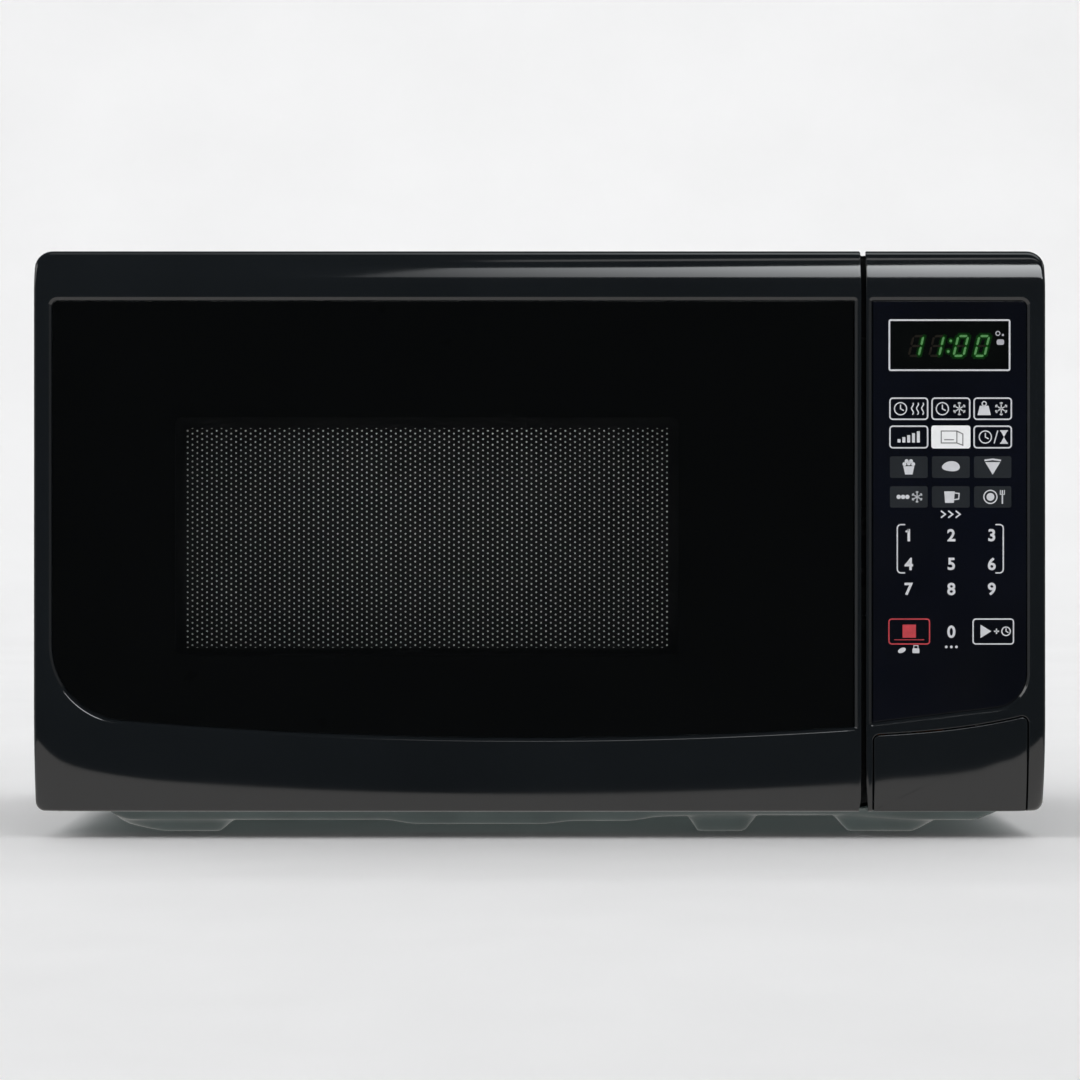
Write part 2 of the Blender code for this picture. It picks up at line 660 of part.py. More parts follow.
def button_outline(grow):
    """The button's outline, moved outwards by grow: its upper edge climbs to the right."""
    low_x, high_x, low = BUTTON_X[0] - grow, BUTTON_X[1] + grow, FACE_BOTTOM - grow
    points = [(low_x, low), (high_x, low), (high_x, 49.6 + grow)]
    top = [(210.6, 51.3), (208.2, 50.8), (204.3, 49.3), (200.4, 48.2), (183.0, 45.2), (165.0, 43.6), (148.0, 42.6)]
    points += [(x, z + grow) for x, z in top]
    points += [(low_x + 0.8, 41.8 + grow), (low_x, 40.0 + grow)]
    return points


def open_button():
    """The large push button under the keypad, which tips about its lower edge."""
    low_x, high_x = BUTTON_X
    pivot_y, pivot_z = BUTTON_PIVOT
    face = slab("open_button", button_outline(0.0), (FRONT + 0.4, FRONT + 12))
    room_z = (FACE_BOTTOM + 7.5, 40.2)
    cut(face, box("button_inside", (low_x + 2, high_x - 2), (FRONT + 2.9, FRONT + 20), room_z))
    rib_tip = LEVER_PIVOT[0] - 3 - 2 * GAP
    fuse(face, box("push_rib", (157, 163), (FRONT + 1.5, rib_tip), (39.8, 42.8)))
    fuse(face, box("rib_rise", (157, 163), (rib_tip - 12, rib_tip), (42.0, 45.8)))
    pivot = ((low_x + high_x) / 2, pivot_y, pivot_z)
    fuse(face, cylinder("button_pins", pivot, 2.0, high_x - low_x + 4.4, "X", 16))
    paint(face, "gloss black")
    hang("button_axis", pivot, face)


def release_lever():
    """The crank that turns the button's push into a lift under the lower hook."""
    pivot_y, pivot_z = LEVER_PIVOT
    under_hook = HOOK_LOW - HOOK_BARB - GAP
    lever = cylinder("release_lever", (141, pivot_y, pivot_z), 3.0, 56, "X", 16)
    fuse(lever, box("lever_arm", (131.4, 134.2), (pivot_y - 1, HOOK_TIP), (pivot_z - 2, under_hook)))
    fuse(lever, box("lever_tab", (126, 134.2), (HOOK_TIP - 5.5, HOOK_TIP), (pivot_z - 2, under_hook)))
    fuse(lever, box("lever_foot", (155, 165), (pivot_y - 3, pivot_y + 1), (38, pivot_z)))
    paint(lever, "white plastic")
    hang("lever_axis", (141, pivot_y, pivot_z), lever)


def latch_board():
    """The plastic carrier behind the front plate: ledges for the hooks and seats for the switches."""
    y = (PLATE_FRONT + SHEET + GAP, -98)
    pivot_y, pivot_z = LEVER_PIVOT
    board = box("latch_board", (116, 119), y, (46, 222))
    fuse(board, box("cross_bar", (116, 145), (-101, -98), (46, 72)))
    fuse(board, box("cheek", (142, 145), y, (46, 72)))
    for low in (HOOK_LOW, HOOK_HIGH):
        ledge_top = low - HOOK_BARB - 2 * GAP
        fuse(board, box("ledge", (118, 130.8), (-118, -111), (ledge_top - 8, ledge_top)))
    cut(board, cylinder("lever_bore", (130, pivot_y, pivot_z), 3.5, 60, "X", 16))
    paint(board, "white plastic")
    seats = {"monitor_switch": (76, 104), "primary_switch": (160, 188), "secondary_switch": (192, 220)}
    for name, z in seats.items():
        switch = box(name, (119.4, 130), (-97.5, -81), z)
        fuse(switch, box("switch_plunger", (123, 126), (-99.5, -97), (z[0] + 6, z[0] + 9)))
        paint(switch, "black plastic")


# ---------------------------------------------------------------- door


def hinge_brackets():
    """Steel tongues that reach from behind the front plate to the two hinge pins."""
    back = PLATE_FRONT + SHEET + GAP
    for name, tongue, flange in (
        ("upper_hinge_bracket", UPPER_TONGUE, (237, 251)),
        ("lower_hinge_bracket", LOWER_TONGUE, (12, 30)),
    ):
        bracket = box(name, (-215.4, -208.6), (PIVOT_Y, back + 1.2), tongue)
        middle = sum(tongue) / 2
        thick = tongue[1] - tongue[0]
        fuse(bracket, cylinder("tongue_end", (PIVOT_X, PIVOT_Y, middle), 4.4, thick, "Z", 24))
        fuse(bracket, box("flange", (-215.4, -203), (back, back + 1.4), flange))
        cut(bracket, cylinder("pin_hole", (PIVOT_X, PIVOT_Y, middle), PIN_HOLE, 10, "Z", 24))
        paint(bracket, "zinc")


def door_parts():
    """Everything that swings with the door."""
    pieces = [door_bezel(), door_window(), door_screen(), door_choke_cover(), door_inner_film()]
    pieces += hinge_pins()
    pieces.append(latch_spring())
    hooks = latch_hooks()
    pivot = hang("door_axis", (PIVOT_X, PIVOT_Y, FACE_BOTTOM), *pieces)
    slide = hang("hook_slide", (sum(HOOK_X) / 2, -145, HOOK_LOW), hooks)
    slide.parent = pivot
    slide.matrix_parent_inverse = pivot.matrix_world.inverted()


def door_bezel():
    """The door's moulded front, with a recess and an opening for the window plate."""
    shell = box("door_bezel", (LEFT, DOOR_RIGHT), (FRONT, FACE_BACK), (FACE_BOTTOM, FACE_TOP))
    round_edges(shell, TOP_CORNER, lambda m, d: abs(d.y) > 0.9 and m.x < LEFT + 5 and m.z > 200, 4)
    room_y, room_z = (FRONT + FACE_WALL, FACE_BACK + 5), (FACE_BOTTOM + WALL, FACE_TOP - WALL)
    cut(shell, box("door_room", (LEFT + WALL, DOOR_RIGHT - WALL), room_y, room_z))
    cut(shell, slab("window_recess", window_outline(0.3), (FRONT - 5, FRONT + GLASS_RECESS + GAP)))
    cut(shell, box("window_opening", (-182, 92), (FRONT - 5, FRONT + 10), (60, 205)))
    # Room for the rear left edge to pass the cabinet, and for the hinge tongues
    cut(shell, box("edge_relief", (LEFT - 5, PIVOT_X - 0.5), (PIVOT_Y + 3.4, 0), (0, TOP + 5)))
    for low, high in (UPPER_TONGUE, LOWER_TONGUE):
        cut(shell, box("tongue_relief", (LEFT - 5, LEFT + 5), (PIVOT_Y - 6, 0), (low - 1.5, high + 1.5)))
    return paint(shell, "gloss black")


def door_window():
    thick = GLASS_RECESS - 0.2
    plate = slab("door_window", window_outline(0), (FRONT + 0.2, FRONT + 0.2 + thick))
    return paint(plate, "window black")


def door_screen():
    """One steel pressing: a flat screen in the middle and the choke channel round it."""
    (left, right), (low, high) = CAVITY_X, CAVITY_Z
    rim_x, rim_y, rim_z = (-215.5, 123.0), (-158.5, -134.7), (20.0, 243.5)
    pan = box("door_screen", rim_x, rim_y, rim_z)
    cut(pan, box("screen_pocket", (left + 2, right - 2), (-170, rim_y[1] - SHEET), (low + 2, high - 2)))
    inner_x, inner_z = (rim_x[0] + SHEET, rim_x[1] - SHEET), (rim_z[0] + SHEET, rim_z[1] - SHEET)
    channel = box("choke_channel", inner_x, (rim_y[0] + SHEET, -120), inner_z)
    core = 2 - SHEET
    cut(channel, box("channel_core", (left + core, right - core), (-170, -110), (low + core, high - core)))
    cut(pan, channel)
    return paint(pan, "steel")


def door_choke_cover():
    """The plastic frame over the choke channel, slotted for the hooks and the hinge tongues."""
    (left, right), (low, high) = CAVITY_X, CAVITY_Z
    y, through = (-134.4, -131.2), (-140, -125)
    frame = box("door_choke_cover", (-216, DOOR_RIGHT - WALL - 0.4), y, (12.4, 250.4))
    cut(frame, box("cover_opening", (left + 6, right - 6), through, (low + 6, high - 6)))
    for arm in (HOOK_LOW, HOOK_HIGH):
        cut(frame, box("arm_slot", (123.5, 132.5), through, (arm - HOOK_BARB - 2, arm + HOOK_ARM + 6)))
    for first, last in (UPPER_TONGUE, LOWER_TONGUE):
        cut(frame, box("tongue_notch", (-220, -206.5), through, (first - 1.5, last + 1.5)))
    return paint(frame, "black plastic")


def door_inner_film():
    """The clear sheet over the screen on the cavity side."""
    return paint(box("door_inner_film", (-172, 78), (-134.4, -133.9), (62, 198)), "clear")


def hinge_pins():
    """The two pins that stand on the screen's rim and turn in the tongues."""
    pins = []
    for name, z in (("upper_hinge_pin", (243.8, 250.4)), ("lower_hinge_pin", (12.4, 19.7))):
        pin = cylinder(name, (PIVOT_X, PIVOT_Y, sum(z) / 2), PIN_RADIUS, z[1] - z[0], "Z", 20)
        pins.append(paint(pin, "steel"))
    return pins


def latch_hooks():
    """Both hooks on one bar that slides up and down inside the door's right edge."""
    bar = box("latch_hooks", HOOK_X, (-152, -142), (58, 192))
    for low in (HOOK_LOW, HOOK_HIGH):
        fuse(bar, box("hook_arm", HOOK_X, (-143, HOOK_TIP), (low, low + HOOK_ARM)))
        barb = box("hook_barb", HOOK_X, (HOOK_TIP - 6, HOOK_TIP), (low - HOOK_BARB, low + 1))
        round_edges(barb, 2.5, lambda m, d: abs(d.x) > 0.9 and m.y > HOOK_TIP - 1)
        fuse(bar, barb)
    return paint(bar, "white plastic")


def latch_spring():
    """The coil above the hooks that pulls them down onto their ledges."""
    turns, per_turn, radius, wire = 7, 8, 3.0, 0.45
    low, high = 193.0, 228.0
    centre = (sum(HOOK_X) / 2, -147.0)
    curve = bpy.data.curves.new("latch_spring", "CURVE")
    curve.dimensions = "3D"
    curve.bevel_depth = wire * MM
    curve.bevel_resolution = 2
    curve.use_fill_caps = True
    spline = curve.splines.new("POLY")
    count = turns * per_turn
    spline.points.add(count)
    for i, point in enumerate(spline.points):
        angle = 2 * math.pi * i / per_turn
        height = low + (high - low) * i / count
        point.co = (radius * math.cos(angle) * MM, radius * math.sin(angle) * MM, height * MM, 1.0)
    spring = bpy.data.objects.new("latch_spring", curve)
    spring.location = (centre[0] * MM, centre[1] * MM, 0.0)
    PIECES.objects.link(spring)
    return paint(spring, "steel")


def build():
    outer_wrapper()
    back_panel()
    rear_screws()
    base_plate()
    front_plate()
    oven_cavity()
    microwave_path()
    high_voltage()
    cooling()
    lamp()
    supply()
    turntable()
    control_panel()
    open_button()
    release_lever()
    latch_board()
    hinge_brackets()
    door_parts()
    stand_on_feet()


def stand_on_feet():
    """Lift the whole oven so that its feet are on the ground."""
    for thing in bpy.data.objects:
        if thing.parent is None:
            thing.location.z += FOOT_DROP * MM


build()
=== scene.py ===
"""Looks for the compact black microwave oven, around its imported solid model.

Lengths are in millimetres and MM turns them into metres. Heights are counted from a plane
FOOT_DROP above the ground, as in the solid model: the oven's feet reach down to the ground.
The oven looks towards -Y, and +X is to its right.
"""

import json
import math

import bmesh
import bpy
from mathutils import Matrix, Vector


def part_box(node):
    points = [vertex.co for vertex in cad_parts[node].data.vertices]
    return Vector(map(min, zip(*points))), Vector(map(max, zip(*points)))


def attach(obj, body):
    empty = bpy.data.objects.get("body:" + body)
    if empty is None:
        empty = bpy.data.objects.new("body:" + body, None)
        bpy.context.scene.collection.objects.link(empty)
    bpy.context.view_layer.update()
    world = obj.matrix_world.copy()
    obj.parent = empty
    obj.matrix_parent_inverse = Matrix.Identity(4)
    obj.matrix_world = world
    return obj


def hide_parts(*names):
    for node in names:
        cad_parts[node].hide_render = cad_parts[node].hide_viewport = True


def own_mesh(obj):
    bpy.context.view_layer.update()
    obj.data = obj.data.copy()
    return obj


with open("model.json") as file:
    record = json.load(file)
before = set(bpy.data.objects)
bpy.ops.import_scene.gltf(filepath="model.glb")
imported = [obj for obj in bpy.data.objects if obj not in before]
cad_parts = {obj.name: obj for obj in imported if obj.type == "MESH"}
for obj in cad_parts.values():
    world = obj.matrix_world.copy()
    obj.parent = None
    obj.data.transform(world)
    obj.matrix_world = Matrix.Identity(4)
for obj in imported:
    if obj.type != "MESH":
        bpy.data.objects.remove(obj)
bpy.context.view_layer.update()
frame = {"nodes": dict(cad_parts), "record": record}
NODES = frame["nodes"]

MM = 0.001
FOOT_DROP = 2.5
LEFT, RIGHT = -220.0, 220.0
FRONT = -165.0
FACE_BOTTOM, FACE_TOP = 9.5, 253.9
DOOR_RIGHT, PANEL_LEFT = 139.9, 142.1
FACE_BACK = -131.5
TOP_CORNER, FOOT_CORNER = 7.4, 4.0

# Moulded face: an arc along the top, and a chin that rolls back below the window
TOP_ARC_START, TOP_ARC = 233.6, 35.0
CHIN_START = 12.0
CHIN_ARCS = ((-220, 88), (-209, 131), (-191, 135), (-165, 153), (140, 153), (165, 168), (189, 165), (200, 137),
             (209, 112), (220, 58))  # the roll's radius along the front, tighter round the corners
EDGE_RADIUS, TOP_EDGE_RADIUS, GAP_RADIUS = 1.4, 2.4, 0.35
RIM_OUT, RIM_IN, RIM_DEPTH = 0.7, 1.0, 1.15  # sloping rim round the window and the keypad

GLASS_LEFT, GLASS_RIGHT, GLASS_TOP, GLASS_LOW = -213.0, 137.8, 232.6, 40.8
GLASS_ARC, GLASS_ARC_X, GLASS_FOOT = 2100.0, -4.0, 34.0
KEYPAD_LEFT, KEYPAD_RIGHT, KEYPAD_FOOT = 143.8, 212.8, 16.0
CLEAR_X, CLEAR_Z = (-158.6, 60.4), (77.6, 181.0)  # the clear field in the window's black print

SCREEN_Y = -135.4  # front of the perforated screen
HOLE_PITCH_X, HOLE_PITCH_Z, HOLE_SIZE = 2.14, 2.46, 0.86
SCREEN_X, SCREEN_Z = (-157.6, 58.4), (78.6, 178.6)


def at(x, y, z):
    """A point in metres, from millimetres and a height above the datum plane."""
    return Vector((x * MM, y * MM, (z + FOOT_DROP) * MM))


# ---------------------------------------------------------------- meshes


def linked(name, data):
    """An object in the scene for a mesh, letters, a light or a camera."""
    holder = bpy.data.objects.new(name, data)
    bpy.context.scene.collection.objects.link(holder)
    return holder


def evaluated(holder, name):
    """The mesh that an object's modifiers or letters make. The object itself goes."""
    bpy.context.view_layer.update()
    made = bpy.data.meshes.new_from_object(holder.evaluated_get(bpy.context.evaluated_depsgraph_get()))
    made.name = name
    bpy.data.objects.remove(holder, do_unlink=True)
    return made


def piece_from(name, mesh, body, slot, replaces=(), material=None):
    """A piece with a finished mesh, riding on its body, in its slot's material unless another is named.

    Its normals are weighted by face area, so that a flat face next to a small radius looks flat.
    """
    holder = linked("holder", mesh)
    holder.modifiers.new("weighted", "WEIGHTED_NORMAL").keep_sharp = True
    piece = linked(name, evaluated(holder, mesh.name))
    piece.data.materials.clear()
    piece.data.materials.append(M[material or slot])
    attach(piece, body)
    if replaces:
        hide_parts(*replaces)
    return piece


def smoothed(mesh, sharp):
    """Smooth shading except across sharp edges."""
    mesh.shade_smooth()
    mesh.set_sharp_from_angle(angle=math.radians(sharp))
    return mesh


def finished(edit, name, sharp=35.0):
    """Close a bmesh into a mesh with its faces out."""
    bmesh.ops.remove_doubles(edit, verts=edit.verts, dist=1e-7)
    bmesh.ops.recalc_face_normals(edit, faces=edit.faces)
    mesh = bpy.data.meshes.new(name)
    edit.to_mesh(mesh)
    edit.free()
    return smoothed(mesh, sharp)


def add_rings(edit, rings, loop=False, cap_first=False, cap_last=False):
    """Quads between rings of equally many points; loop joins the last ring to the first."""
    rows = [[edit.verts.new(point) for point in ring] for ring in rings]
    pairs = list(zip(rows, rows[1:]))
    if loop:
        pairs.append((rows[-1], rows[0]))
    count = len(rows[0])
    for lower, upper in pairs:
        for i in range(count):
            j = (i + 1) % count
            edit.faces.new((lower[i], lower[j], upper[j], upper[i]))
    if cap_first:
        edit.faces.new(rows[0])
    if cap_last:
        edit.faces.new(rows[-1])
    return rows


def closed(name, rings, sharp=35.0, loop=False):
    """A closed mesh over rings of points, with two caps unless the rings form a loop."""
    edit = bmesh.new()
    add_rings(edit, rings, loop=loop, cap_first=not loop, cap_last=not loop)
    return finished(edit, name, sharp)


def cutter_box(x, y, z):
    """A plain box to cut with, from its lowest and highest coordinates."""
    edit = bmesh.new()
    size = [(high - low) * MM for low, high in (x, y, z)]
    middle = at(sum(x) / 2, sum(y) / 2, sum(z) / 2)
    for vert in bmesh.ops.create_cube(edit, size=1.0)["verts"]:
        vert.co = Vector([co * side for co, side in zip(vert.co, size)]) + middle
    mesh = bpy.data.meshes.new("cutter")
    edit.to_mesh(mesh)
    edit.free()
    return linked("cutter", mesh)


def cutter_prism(outline, y):
    """A prism along Y through an outline of (x, z) points."""
    return linked("cutter", closed("cutter", [[at(x, depth, z) for x, z in outline] for depth in y]))


def carve(mesh, cutters, operation="DIFFERENCE", sharp=35.0):
    """The mesh with each cutter taken off (or joined on), as a new mesh."""
    target = linked("target", mesh)
    for cutter in cutters:
        modifier = target.modifiers.new("cut", "BOOLEAN")
        modifier.operation = operation
        modifier.solver = "EXACT"
        modifier.object = cutter
    made = evaluated(target, mesh.name)
    for spent in cutters:
        bpy.data.objects.remove(spent, do_unlink=True)
    return smoothed(made, sharp)


def bevelled(mesh, width, segments=2, angle=40.0, sharp=35.0):
    """The mesh with its hard edges rounded by a small bevel."""
    target = linked("target", mesh)
    bevel = target.modifiers.new("bevel", "BEVEL")
    bevel.width = width * MM
    bevel.segments = segments
    bevel.limit_method = "ANGLE"
    bevel.angle_limit = math.radians(angle)
    return smoothed(evaluated(target, mesh.name), sharp)


def turned_mesh(name, profile, centre, axis="Z", steps=96):
    """A closed turned mesh from (radius, height) points that go round the section."""
    edit = bmesh.new()
    turn = {"Z": Matrix(), "X": Matrix.Rotation(math.pi / 2, 4, "Y"), "Y": Matrix.Rotation(-math.pi / 2, 4, "X")}[axis]
    middle = at(*centre)
    rings = []
    for radius, height in profile:
        ring = []
        for angle in steps_round(steps):
            point = Vector((radius * MM * math.cos(angle), radius * MM * math.sin(angle), height * MM))
            ring.append(turn @ point + middle)
        rings.append(ring)
    add_rings(edit, rings, loop=profile[0][0] > 0)
    bmesh.ops.remove_doubles(edit, verts=edit.verts, dist=1e-7)
    bmesh.ops.dissolve_degenerate(edit, dist=1e-8, edges=edit.edges)
    return finished(edit, name)


def steps_round(count):
    """Angles at even steps round a full turn."""
    return [2 * math.pi * i / count for i in range(count)]


def blend(first, last, share):
    """A point between two others, at a share of the way."""
    return tuple(a + (b - a) * share for a, b in zip(first, last))


def smooth_step(value, low, high):
    share = min(1.0, max(0.0, (value - low) / (high - low)))
    return share * share * (3 - 2 * share)


# ---------------------------------------------------------------- materials


NOISE_SPAN = (0.3, 0.7)  # where nearly all of a noise texture's values lie
SOCKETS = {"coat": "Coat Weight", "ior": "IOR", "clear": "Transmission Weight", "specular": "Specular IOR Level"}


def node(tree, kind, inputs=None, **settings):
    """A new shader node. Each of its inputs named or numbered gets a plain value or a link from a socket."""
    made = tree.nodes.new("ShaderNode" + kind)
    for name, value in settings.items():
        setattr(made, name, value)
    for socket, value in (inputs or {}).items():
        if isinstance(value, bpy.types.NodeSocket):
            tree.links.new(value, made.inputs[socket])
        else:
            made.inputs[socket].default_value = value
    return made


def tree_of(material):
    return material.node_tree, material.node_tree.nodes["Principled BSDF"]


def place_in(tree):
    return node(tree, "TexCoord").outputs["Object"]


def ramp(tree, source, span, result):
    """The source's value carried from one (low, high) span to another."""
    ends = {"From Min": span[0], "From Max": span[1], "To Min": result[0], "To Max": result[1]}
    return node(tree, "MapRange", {**ends, "Value": source}).outputs["Result"]


def bumped(tree, shader, source, strength, distance):
    bump = node(tree, "Bump", {"Strength": strength, "Distance": distance * MM, "Height": source})
    tree.links.new(bump.outputs["Normal"], shader.inputs["Normal"])


def surface(name, colour, roughness, metallic=0.0, **more):
    """A procedural surface: colour, roughness and bump each vary with noise in object space.

    mottle and mottle_scale vary the colour, wear and wear_scale the roughness, grain, grain_size and
    grain_height the bump. The words of SOCKETS set the shader's own sockets.
    """
    material = bpy.data.materials.new(name)
    material.use_nodes = True
    tree, shader = tree_of(material)
    shader.inputs["Metallic"].default_value = metallic
    for word, socket in SOCKETS.items():
        if word in more:
            shader.inputs[socket].default_value = more[word]
    stretch = node(tree, "Mapping", {"Scale": more.get("stretch", (1.0, 1.0, 1.0)), "Vector": place_in(tree)})

    def noise(scale, detail=4.0):
        inputs = {"Scale": scale, "Detail": detail, "Vector": stretch.outputs["Vector"]}
        return node(tree, "TexNoise", inputs).outputs["Fac"]

    mottle, wear, grain = more.get("mottle", 0.1), more.get("wear", 0.03), more.get("grain", 0.0)
    first = (*[c * (1 - mottle) for c in colour], 1.0)
    second = (*more.get("second", [min(1.0, c * (1 + mottle)) for c in colour]), 1.0)
    share = ramp(tree, noise(more.get("mottle_scale", 60.0)), NOISE_SPAN, (0.0, 1.0))
    mix = node(tree, "Mix", {"A": first, "B": second, "Factor": share}, data_type="RGBA")
    tree.links.new(mix.outputs["Result"], shader.inputs["Base Color"])
    ends = (max(0.0, roughness - wear), roughness + wear)
    rough = ramp(tree, noise(more.get("wear_scale", 25.0), 6.0), NOISE_SPAN, ends)
    tree.links.new(rough, shader.inputs["Roughness"])
    if grain:
        source = noise(1.0 / (more.get("grain_size", 0.6) * MM), 3.0)
        bumped(tree, shader, source, grain, more.get("grain_height", 0.05))
    return material


def speckled(material, scale, size, colour):
    """Scatter fine dots of another colour over a surface."""
    tree, shader = tree_of(material)
    base = shader.inputs["Base Color"].links[0].from_socket
    cells = node(tree, "TexVoronoi", {"Scale": scale, "Vector": place_in(tree)})
    dots = node(tree, "Math", {0: cells.outputs["Distance"], 1: size}, operation="LESS_THAN")
    shades = {"A": base, "B": (*colour, 1.0), "Factor": dots.outputs["Value"]}
    tree.links.new(node(tree, "Mix", shades, data_type="RGBA").outputs["Result"], shader.inputs["Base Color"])
    return material


def banded(material, axis, pitch, strength, height):
    """Fine parallel ridges across an axis: laminations, wound wire or cut threads."""
    tree, shader = tree_of(material)
    scale = 2 * math.pi / (pitch * MM) / 20
    wave = node(tree, "TexWave", {"Scale": scale, "Vector": place_in(tree)}, bands_direction=axis)
    bumped(tree, shader, wave.outputs["Fac"], strength, height)
    return material


def glowing(name, colour, strength):
    """A lit display segment, slightly uneven along its length."""
    material = surface(name, tuple(c * 0.4 for c in colour), 0.4, mottle=0.15, mottle_scale=400.0)
    shader = tree_of(material)[1]
    shader.inputs["Emission Color"].default_value = (*colour, 1.0)
    shader.inputs["Emission Strength"].default_value = strength
    return material


def make_materials():
    spangled = speckled(
        surface("galvanised", (0.42, 0.45, 0.45), 0.36, 1.0, mottle=0.15, mottle_scale=170.0, wear=0.06,
                wear_scale=90.0, grain=0.25, grain_size=3.0),
        420.0, 0.12, (0.34, 0.37, 0.37))
    inks = {  # colour, mottle and its scale
        "white": ((0.66, 0.67, 0.70), 0.05, 300.0), "bright": ((0.93, 0.94, 0.95), 0.03, 300.0),
        "grey": ((0.42, 0.42, 0.46), 0.05, 300.0), "dark": ((0.16, 0.16, 0.165), 0.08, 300.0),
        "red": ((0.55, 0.035, 0.05), 0.12, 260.0),
    }
    prints = {"print_" + word: surface(word + "_print", colour, 0.5, mottle=mottle, mottle_scale=scale)
              for word, (colour, mottle, scale) in inks.items()}
    return {
        **prints,
        "bezel": surface("gloss_bezel", (0.0066, 0.0082, 0.0098), 0.07, mottle=0.12, mottle_scale=14.0,
                         wear=0.02, wear_scale=9.0, grain=0.02, grain_size=22.0, grain_height=0.3),
        "window": surface("window_print", (0.0016, 0.0018, 0.0018), 0.30, mottle=0.1, mottle_scale=9.0,
                          specular=0.05),
        "window_glass": surface("window_plate", (0.9, 0.9, 0.9), 0.0, wear=0.0, mottle=0.01, mottle_scale=5.0,
                                clear=1.0, ior=1.3),
        "keypad": surface("keypad_film", (0.0012, 0.0018, 0.0058), 0.16, mottle=0.25, mottle_scale=16.0,
                          wear=0.04, grain=0.08, grain_size=0.5, grain_height=0.02),
        "keypad_pad": surface("keypad_pad_print", (0.0075, 0.0112, 0.0158), 0.4, mottle=0.12, mottle_scale=120.0),
        "display_lens": surface("display_lens", (0.30, 0.33, 0.31), 0.02, wear=0.01, mottle=0.02, mottle_scale=20.0,
                                clear=1.0, ior=1.45),
        "segment_lit": glowing("segment_lit", (0.40, 1.0, 0.38), 0.72),
        "segment_near": glowing("segment_near", (0.05, 1.0, 0.04), 0.055),
        "segment_far": glowing("segment_far", (0.05, 1.0, 0.06), 0.016),
        # Unlit segments with a faint painted glow: they give off light of their own though nothing lights them.
        "segment_off_painted_glow": glowing("segment_unlit_painted_glow", (1.0, 0.66, 0.52), 0.012),
        "display_mask": surface("display_mask", (0.0022, 0.0022, 0.0026), 0.6, mottle=0.2, mottle_scale=80.0),
        "wrapper_paint": surface("powder_coat", (0.013, 0.0135, 0.014), 0.36, mottle=0.2, mottle_scale=220.0,
                                 wear=0.02, wear_scale=18.0, grain=0.55, grain_size=0.7, grain_height=0.06),
        "base_sheet": surface("coated_base", (0.075, 0.105, 0.105), 0.42, 0.35, mottle=0.18, mottle_scale=40.0,
                              wear=0.08, grain=0.15, grain_size=1.4),
        "rear_sheet": spangled,
        # Dark paint for the front plate. On it the colour is partly painted shade, as it keeps the narrow gap between
        # the door and the panel dark.
        "dark_enamel_gap_shade": surface("dark_enamel_gap_shade", (0.016, 0.0165, 0.017), 0.25, mottle=0.2, mottle_scale=60.0, wear=0.06,
                               grain=0.15, grain_size=3.0),
        "enamel": speckled(
            surface("grey_enamel", (0.52, 0.53, 0.52), 0.22, mottle=0.05, mottle_scale=30.0, wear=0.06,
                    grain=0.18, grain_size=3.5, grain_height=0.05, coat=0.4),
            900.0, 0.11, (0.16, 0.17, 0.17)),
        "steel": surface("plain_steel", (0.52, 0.53, 0.55), 0.30, 1.0, mottle=0.12, mottle_scale=70.0, wear=0.1,
                         wear_scale=60.0, stretch=(1.0, 6.0, 1.0), grain=0.12, grain_size=0.8),
        "screen_paint": surface("black_screen", (0.0060, 0.0060, 0.0064), 0.42, mottle=0.2, mottle_scale=90.0,
                                grain=0.15, grain_size=0.5, specular=0.12),
        "aluminium": surface("aluminium", (0.72, 0.73, 0.74), 0.28, 1.0, mottle=0.08, mottle_scale=60.0, wear=0.08,
                             stretch=(6.0, 1.0, 1.0), grain=0.1, grain_size=0.6),
        "mica": surface("mica_sheet", (0.46, 0.38, 0.26), 0.38, mottle=0.3, mottle_scale=55.0, wear=0.12,
                        stretch=(1.0, 1.0, 2.5), grain=0.3, grain_size=5.0),
        "black_plastic": surface("moulded_black", (0.018, 0.018, 0.0195), 0.42, mottle=0.12, mottle_scale=50.0,
                                 wear=0.05, grain=0.4, grain_size=0.45, grain_height=0.03),
        "white_plastic": surface("moulded_white", (0.70, 0.69, 0.65), 0.38, mottle=0.05, mottle_scale=40.0,
                                 wear=0.05, grain=0.12, grain_size=0.8),
        "tray_glass": surface("tray_glass", (0.90, 0.96, 0.94), 0.02, wear=0.015, mottle=0.02, mottle_scale=8.0,
                              grain=0.12, grain_size=9.0, grain_height=0.2,
                              clear=1.0, ior=1.5),
        "lamp_glass": surface("lamp_glass", (0.96, 0.94, 0.90), 0.03, wear=0.02, mottle=0.02, mottle_scale=60.0,
                              clear=1.0, ior=1.5),
        "clear_film": surface("clear_film", (0.92, 0.93, 0.93), 0.06, wear=0.03, mottle=0.01, mottle_scale=20.0,
                              clear=1.0, ior=1.2),
        "core_steel": banded(
            surface("laminated_core", (0.095, 0.095, 0.10), 0.5, 0.6, mottle=0.25, mottle_scale=120.0, wear=0.1),
            "Y", 0.9, 0.8, 0.15),
        "copper": banded(
            surface("wound_copper", (0.42, 0.135, 0.05), 0.32, 0.75, mottle=0.2, mottle_scale=90.0, wear=0.08),
            "Z", 1.1, 0.9, 0.3),
        "board": surface("circuit_board", (0.022, 0.13, 0.055), 0.38, mottle=0.35, mottle_scale=420.0, wear=0.1,
                         second=(0.05, 0.24, 0.10), stretch=(1.0, 1.0, 0.25), grain=0.3, grain_size=1.5),
    }


M = make_materials()


SLOTS = {part["node"]: part["material_slot"] for part in frame["record"]["subparts"]}


def dress_nodes():
    """Every carried-over solid gets the material of its slot."""
    for name, solid in NODES.items():
        solid.data.materials.clear()
        solid.data.materials.append(M[SLOTS[name]])


dress_nodes()


# ---------------------------------------------------------------- outlines of the face


def arc_points(centre, radius, first, last, count):
    """(x, z, outward x, outward z) along an arc, angles in degrees."""
    made = []
    for i in range(count + 1):
        angle = math.radians(first + (last - first) * i / count)
        across, up = math.cos(angle), math.sin(angle)
        made.append((centre[0] + radius * across, centre[1] + radius * up, across, up))
    return made


